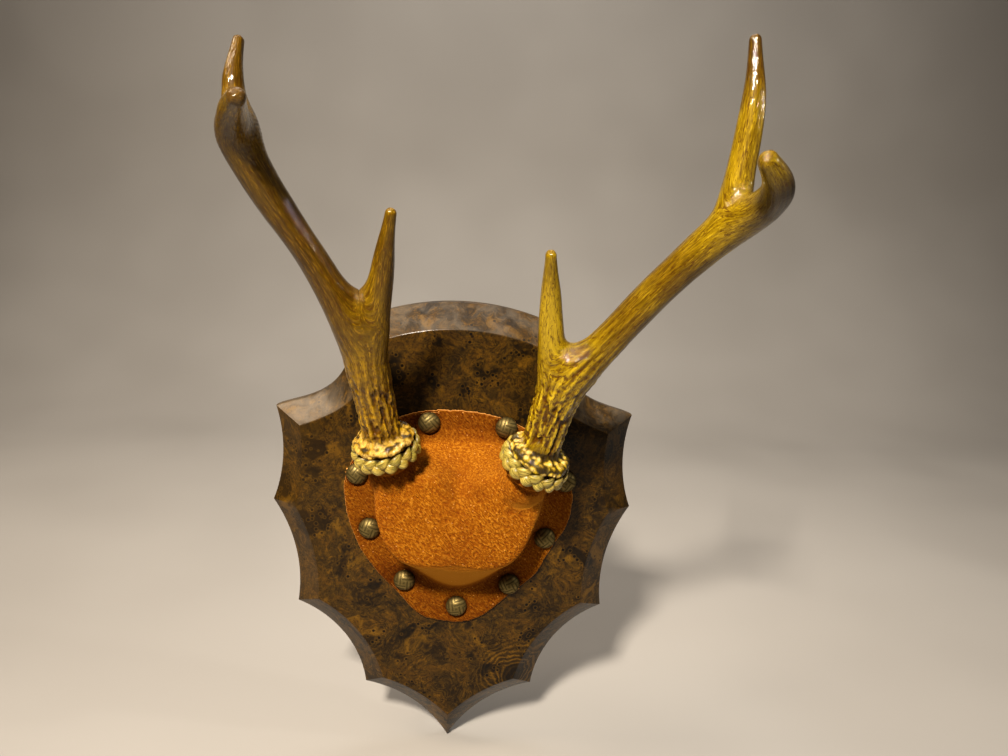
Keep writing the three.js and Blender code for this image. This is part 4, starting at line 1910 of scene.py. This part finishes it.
@dataclass
class Nails:
    """Nine upholstery nails with hammered, woven-looking domed heads."""

    finish: AntiqueBrass = field(default_factory=AntiqueBrass)
    radius: float = 6.0
    height: float = 4.2
    places: tuple = (
        (-14.3, 69.6), (-53, 39.6), (-46.2, 7.9), (-26.5, -23.1), (3.3, -38.7),
        (33, -24.6), (52, 3.9), (61.8, 37.8), (27.7, 67.9),
    )
    stamp: float = 0.16  # depth of the stamped weave
    strokes: float = 9.5  # how close its strokes are

    def build(self) -> list[bpy.types.Object]:
        """Stamps all the heads.

        Returns:
            The nine heads.
        """
        metal, made = self.finish.make(), []
        angle = around(72)
        for number, place in enumerate(self.places, 1):
            spin, rings, high = 1.3 * number, [], []
            for climb in np.linspace(0, math.pi / 2, 26)[:-1]:
                out = math.cos(climb)
                u, v = out * np.cos(angle + spin), out * np.sin(angle + spin)
                # strokes that change direction from one quarter of the head to the next
                quarter = np.floor((np.arctan2(v, u) + 1.6 * out) / (math.pi / 2)) % 2
                stroke = np.where(quarter == 0, u * 0.92 + v * 0.4, v * 0.92 - u * 0.4)
                weave = np.abs(np.sin(stroke * self.strokes))
                raised = np.clip(weave * 1.3 - 0.15, 0, 1) * (math.sin(climb * 2) ** 0.4 if climb else 0)
                reach = self.radius * (out - 0.02 * (climb == 0))
                up = (self.height - self.stamp * (1 - raised)) * math.sin(climb)
                rings.append(wall_ring(angle, reach, place, SUEDE_TOP - 0.1 - up))
                high.append(raised * (0.35 + 0.65 * math.sin(climb)))
            skirt = rings[0].copy()
            skirt[:, 1] += 1.0
            nail = make_object(f"nail_head_{number}", loft([skirt, *rings]), metal)
            carry(nail, "high", np.clip(np.concatenate([high[0], *high]), 0, 1))
            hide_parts(f"nail_{number}")
            made.append(nail)
        return made


# ---------------------------------------------------------------- studio


@dataclass(frozen=True)
class Lamp:
    """One square soft light.

    Attributes:
        name: Its name.
        place: Where it hangs, in mm.
        aim: What it points at, in mm.
        size: Its side in mm.
        power: In watts.
        tint: Its colour.
        spread: How widely it shines, in degrees.
    """

    name: str
    place: tuple[float, float, float]
    aim: tuple[float, float, float]
    size: float
    power: float
    tint: str
    spread: float = 180.0

    def hang(self) -> None:
        """Hangs it where it belongs."""
        data = bpy.data.lights.new(self.name, "AREA")
        data.shape, data.size, data.spread = "SQUARE", self.size * MM, math.radians(self.spread)
        data.energy, data.color = self.power, linear(self.tint)[:3]
        made = bpy.data.objects.new(self.name, data)
        made.location = Vector(self.place) * MM
        made.rotation_mode = "QUATERNION"
        made.rotation_quaternion = (Vector(self.aim) - Vector(self.place)).to_track_quat("-Z", "Y")
        bpy.context.scene.collection.objects.link(made)


@dataclass
class Studio:
    """The camera, the soft lights and the pale paper sweep."""

    eye: tuple = (3.4, -422.7, 184.6)
    right: tuple = (0.99815, -0.04493, 0.04108)
    up: tuple = (-0.03038, 0.21698, 0.97570)
    ahead: tuple = (0.05275, 0.97514, -0.21521)
    lens: float = 27.5
    floor: float = -134.2
    bend_from: float = 620.0  # the paper lies flat up to here, then curves up
    bend: float = 420.0
    paper: tuple = (2600.0, -2200.0, 2400.0)  # its half width, its front end and its top
    lamps: tuple[Lamp, ...] = (
        Lamp("key", (-260, -880, 860), (0, -40, 40), 130, 6.2, "FFF4E6", 84),
        Lamp("window", (-760, -160, 1040), (0, -30, 60), 420, 6.5, "FFEAD0"),
        Lamp("spark", (900, -220, 440), (20, -80, 130), 40, 1.5, "FFFAF2"),
        Lamp("ceiling", (0, 60, 1300), (0, 0, 0), 1000, 3, "FBFAFF"),
        Lamp("backdrop", (0, 420, 1100), (0, 1040, 250), 500, 3.5, "FFFCF8"),
    )
    room: str = "CFCBC8"
    room_light: float = 0.08

    def camera(self) -> None:
        """Sets the camera up."""
        data = bpy.data.cameras.new("camera")
        data.lens, data.sensor_width, data.sensor_fit = self.lens, 36.0, "HORIZONTAL"
        data.clip_start, data.clip_end = 0.01, 20.0
        made = bpy.data.objects.new("camera", data)
        bpy.context.scene.collection.objects.link(made)
        turn = Matrix((self.right, self.up, [-a for a in self.ahead])).transposed()
        made.matrix_world = Matrix.Translation(Vector(self.eye) * MM) @ turn.to_4x4()
        bpy.context.scene.camera = made

    def sweep(self) -> None:
        """Rolls the paper out, under the object and up far behind it."""
        half, front, top = self.paper
        path = [(front, self.floor), (self.bend_from, self.floor)]
        for a in np.linspace(0, math.pi / 2, 17)[1:]:
            forward, up = self.bend * math.sin(a), self.bend * (1 - math.cos(a))
            path.append((self.bend_from + forward, self.floor + up))
        path.append((self.bend_from + self.bend, top))
        points = np.array([(x, y, z) for y, z in path for x in (-half, half)])
        paper = make_object("paper_sweep", (points, lattice(len(path), 2, closed=False)), PaleSweep().make())

    def lights(self) -> None:
        """Hangs the lamps and makes the room dim."""
        for lamp in self.lamps:
            lamp.hang()
        world = bpy.data.worlds.new("room")
        bpy.context.scene.world = world
        world.use_nodes = True
        world.node_tree.nodes.clear()
        sky = add_node(world.node_tree, "Background", Color=linear(self.room), Strength=self.room_light)
        add_node(world.node_tree, "OutputWorld", "node", Surface=sky)

    def build(self) -> None:
        """Sets up everything round the object."""
        self.camera()
        self.sweep()
        self.lights()
        view = bpy.context.scene.view_settings
        view.view_transform = "Standard"
        view.look = "Medium High Contrast"


def left_antler() -> Antler:
    """The left antler: browner, its beam bending in at the top to a small knob.

    Returns:
        The antler.
    """
    return Antler(
        side=Side.LEFT,
        finish=VarnishedAntler(
            "varnished_antler_left", bone="6C5406", pale="AC8616", cream="D2AE5E", stain="4A3404",
            crack="482A04", grey="4A3A28",
        ),
        lean=(-12, 17),
        burr_radius=15.6,
        braid_radius=18.2,
        beam=(
            (-34.1, -50, 63.9, 10.2), (-37, -55, 79, 9.6), (-41.9, -64, 107.5, 9.6), (-50.2, -75, 133.5, 8.2),
            (-62.3, -85, 159.3, 6.5), (-79, -96, 187.6, 7), (-87, -108, 207, 7.1), (-84.2, -121, 214.5, 5.7),
            (-77, -140, 219, 3.2),
        ),
        brow_tine=(
            (-41, -66, 108, 8.4), (-37.5, -73, 131, 6.2), (-33.6, -82, 154, 5.3), (-28.6, -93.5, 182.6, 2.3),
        ),
        upper_tine=(
            (-80.5, -99, 193, 4.5), (-86, -102, 209, 5.3), (-89.9, -99.5, 228, 4.2), (-88.9, -93, 246.6, 2.1),
        ),
        patches=(
            Patch(Kind.DARK, (-50, -76, 132), (20, 24, 22), 0.5),
            Patch(Kind.DARK, (-56, -82, 150), (20, 24, 30), 0.75),
            Patch(Kind.DARK, (-68, -90, 170), (22, 24, 30), 0.75),
            Patch(Kind.DARK, (-31, -88, 165), (9, 14, 30), 0.45),
            Patch(Kind.DARK, (-80, -99, 190), (22, 24, 30), 0.6),
            Patch(Kind.DARK, (-87, -108, 208), (18, 24, 24), 0.55),
            Patch(Kind.DARK, (-88, -98, 236), (9, 14, 28), 0.75),
            Patch(Kind.GREY, (-95, -110, 205), (7, 16, 22), 0.6),
            Patch(Kind.DARK, (-77, -140, 219), (7, 9, 7), 0.6),
            Patch(Kind.GREY, (-77, -140, 219), (7, 9, 7), 0.5),
            Patch(Kind.PALE, (-34, -60, 88), (16, 14, 22), 0.4),
        ),
        beading=(
            Beading(70, -1.7, 6.3, 1.6, scatter=0.35, swing=0.45, waves=6),
            Beading(34, -1.0, 4.2, 1.0, scatter=0.7),
            Beading(48, -4.6, 8.6, 1.0, scatter=0.35, swing=0.7, waves=7),
        ),
        ridges=16,
        web=14.0,
        rough_reach=(18, 90),
        columns=17,
        cream_top=7.5,
        seed=2.0,
    )


def right_antler() -> Antler:
    """The right antler: golden, thicker, its beam running far out before it turns in.

    Returns:
        The antler.
    """
    return Antler(
        side=Side.RIGHT,
        finish=VarnishedAntler("varnished_antler_right"),
        lean=(24, 16),
        burr_radius=16.8,
        braid_radius=18.7,
        beam=(
            (40, -57, 60.9, 10.6), (44.4, -61, 78, 10), (48.4, -68, 97, 10.6), (55.5, -75, 112.5, 10.6),
            (66, -79.5, 124.5, 7.9), (91.5, -91, 158, 7.6), (110.5, -104, 180, 8.2),
            (118.7, -122, 190.3, 6.9), (116.8, -136, 197.4, 5.8), (106.9, -146, 206.6, 3.6),
        ),
        brow_tine=(
            (48, -67, 98, 9.4), (43.7, -75, 121, 6.7), (41, -84.5, 145, 4.9), (38.5, -96.5, 168, 2.4),
        ),
        upper_tine=(
            (110, -103, 184, 7), (113.9, -104, 209.5, 5.7), (115.8, -103, 232, 4.6), (114.8, -100, 256, 2.3),
        ),
        patches=(
            Patch(Kind.CALM, (40, -68, 71), (7, 8, 6), 1.0),
            # painted reflection of the varnish on the outer face of the beam's tip
            Patch(Kind.GREY, (128, -133, 196), (23, 42, 36), 1.0),
            Patch(Kind.DARK, (115, -102, 254), (12, 14, 36), 1.0),
            Patch(Kind.DARK, (60, -80, 118), (13, 14, 16), 0.85),
            Patch(Kind.DARK, (76, -84, 136), (24, 24, 26), 0.75),
            Patch(Kind.DARK, (94, -92, 160), (22, 22, 24), 0.75),
            Patch(Kind.PALE, (42, -84, 140), (10, 14, 34), 0.5),
            Patch(Kind.DARK, (105, -147, 207), (9, 9, 9), 0.5),
        ),
        beading=(
            Beading(31, -1.4, 5.2, 1.15, scatter=0.9),
            Beading(28, -2.9, 7.7, 1.1, scatter=0.9),
            Beading(22, -4.8, 8.9, 1.0, scatter=0.9),
            Beading(14, 0.8, 10.8, 0.9, on_rim=False),
        ),
        columns=0,
        cream_top=9.0,
        ridges=15,
        groove_depth=1.15,
        pitted=1.2,
        seed=5.0,
    )


def main() -> None:
    """Builds the mount, piece by piece."""
    logging.basicConfig(level=logging.INFO, format="%(asctime)s %(message)s")
    Studio().build()
    antlers = (left_antler(), right_antler())
    nails = Nails()
    straw = PlaitedStraw().make()
    builders: tuple[Callable[[], Any], ...] = (
        Shield().build,
        BackScrews().build,
        SuedeCover(antlers, nails.places).build,
        nails.build,
        *(antler.skin for antler in antlers),
        *(Plait(antler, straw).build for antler in antlers),
    )
    for build in builders:
        made = build()
        for piece in made if isinstance(made, list) else [made]:
            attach(piece, "root")
            log.info("%s: %d faces", piece.name, len(piece.data.polygons))


if __name__ == "__main__":
    main()
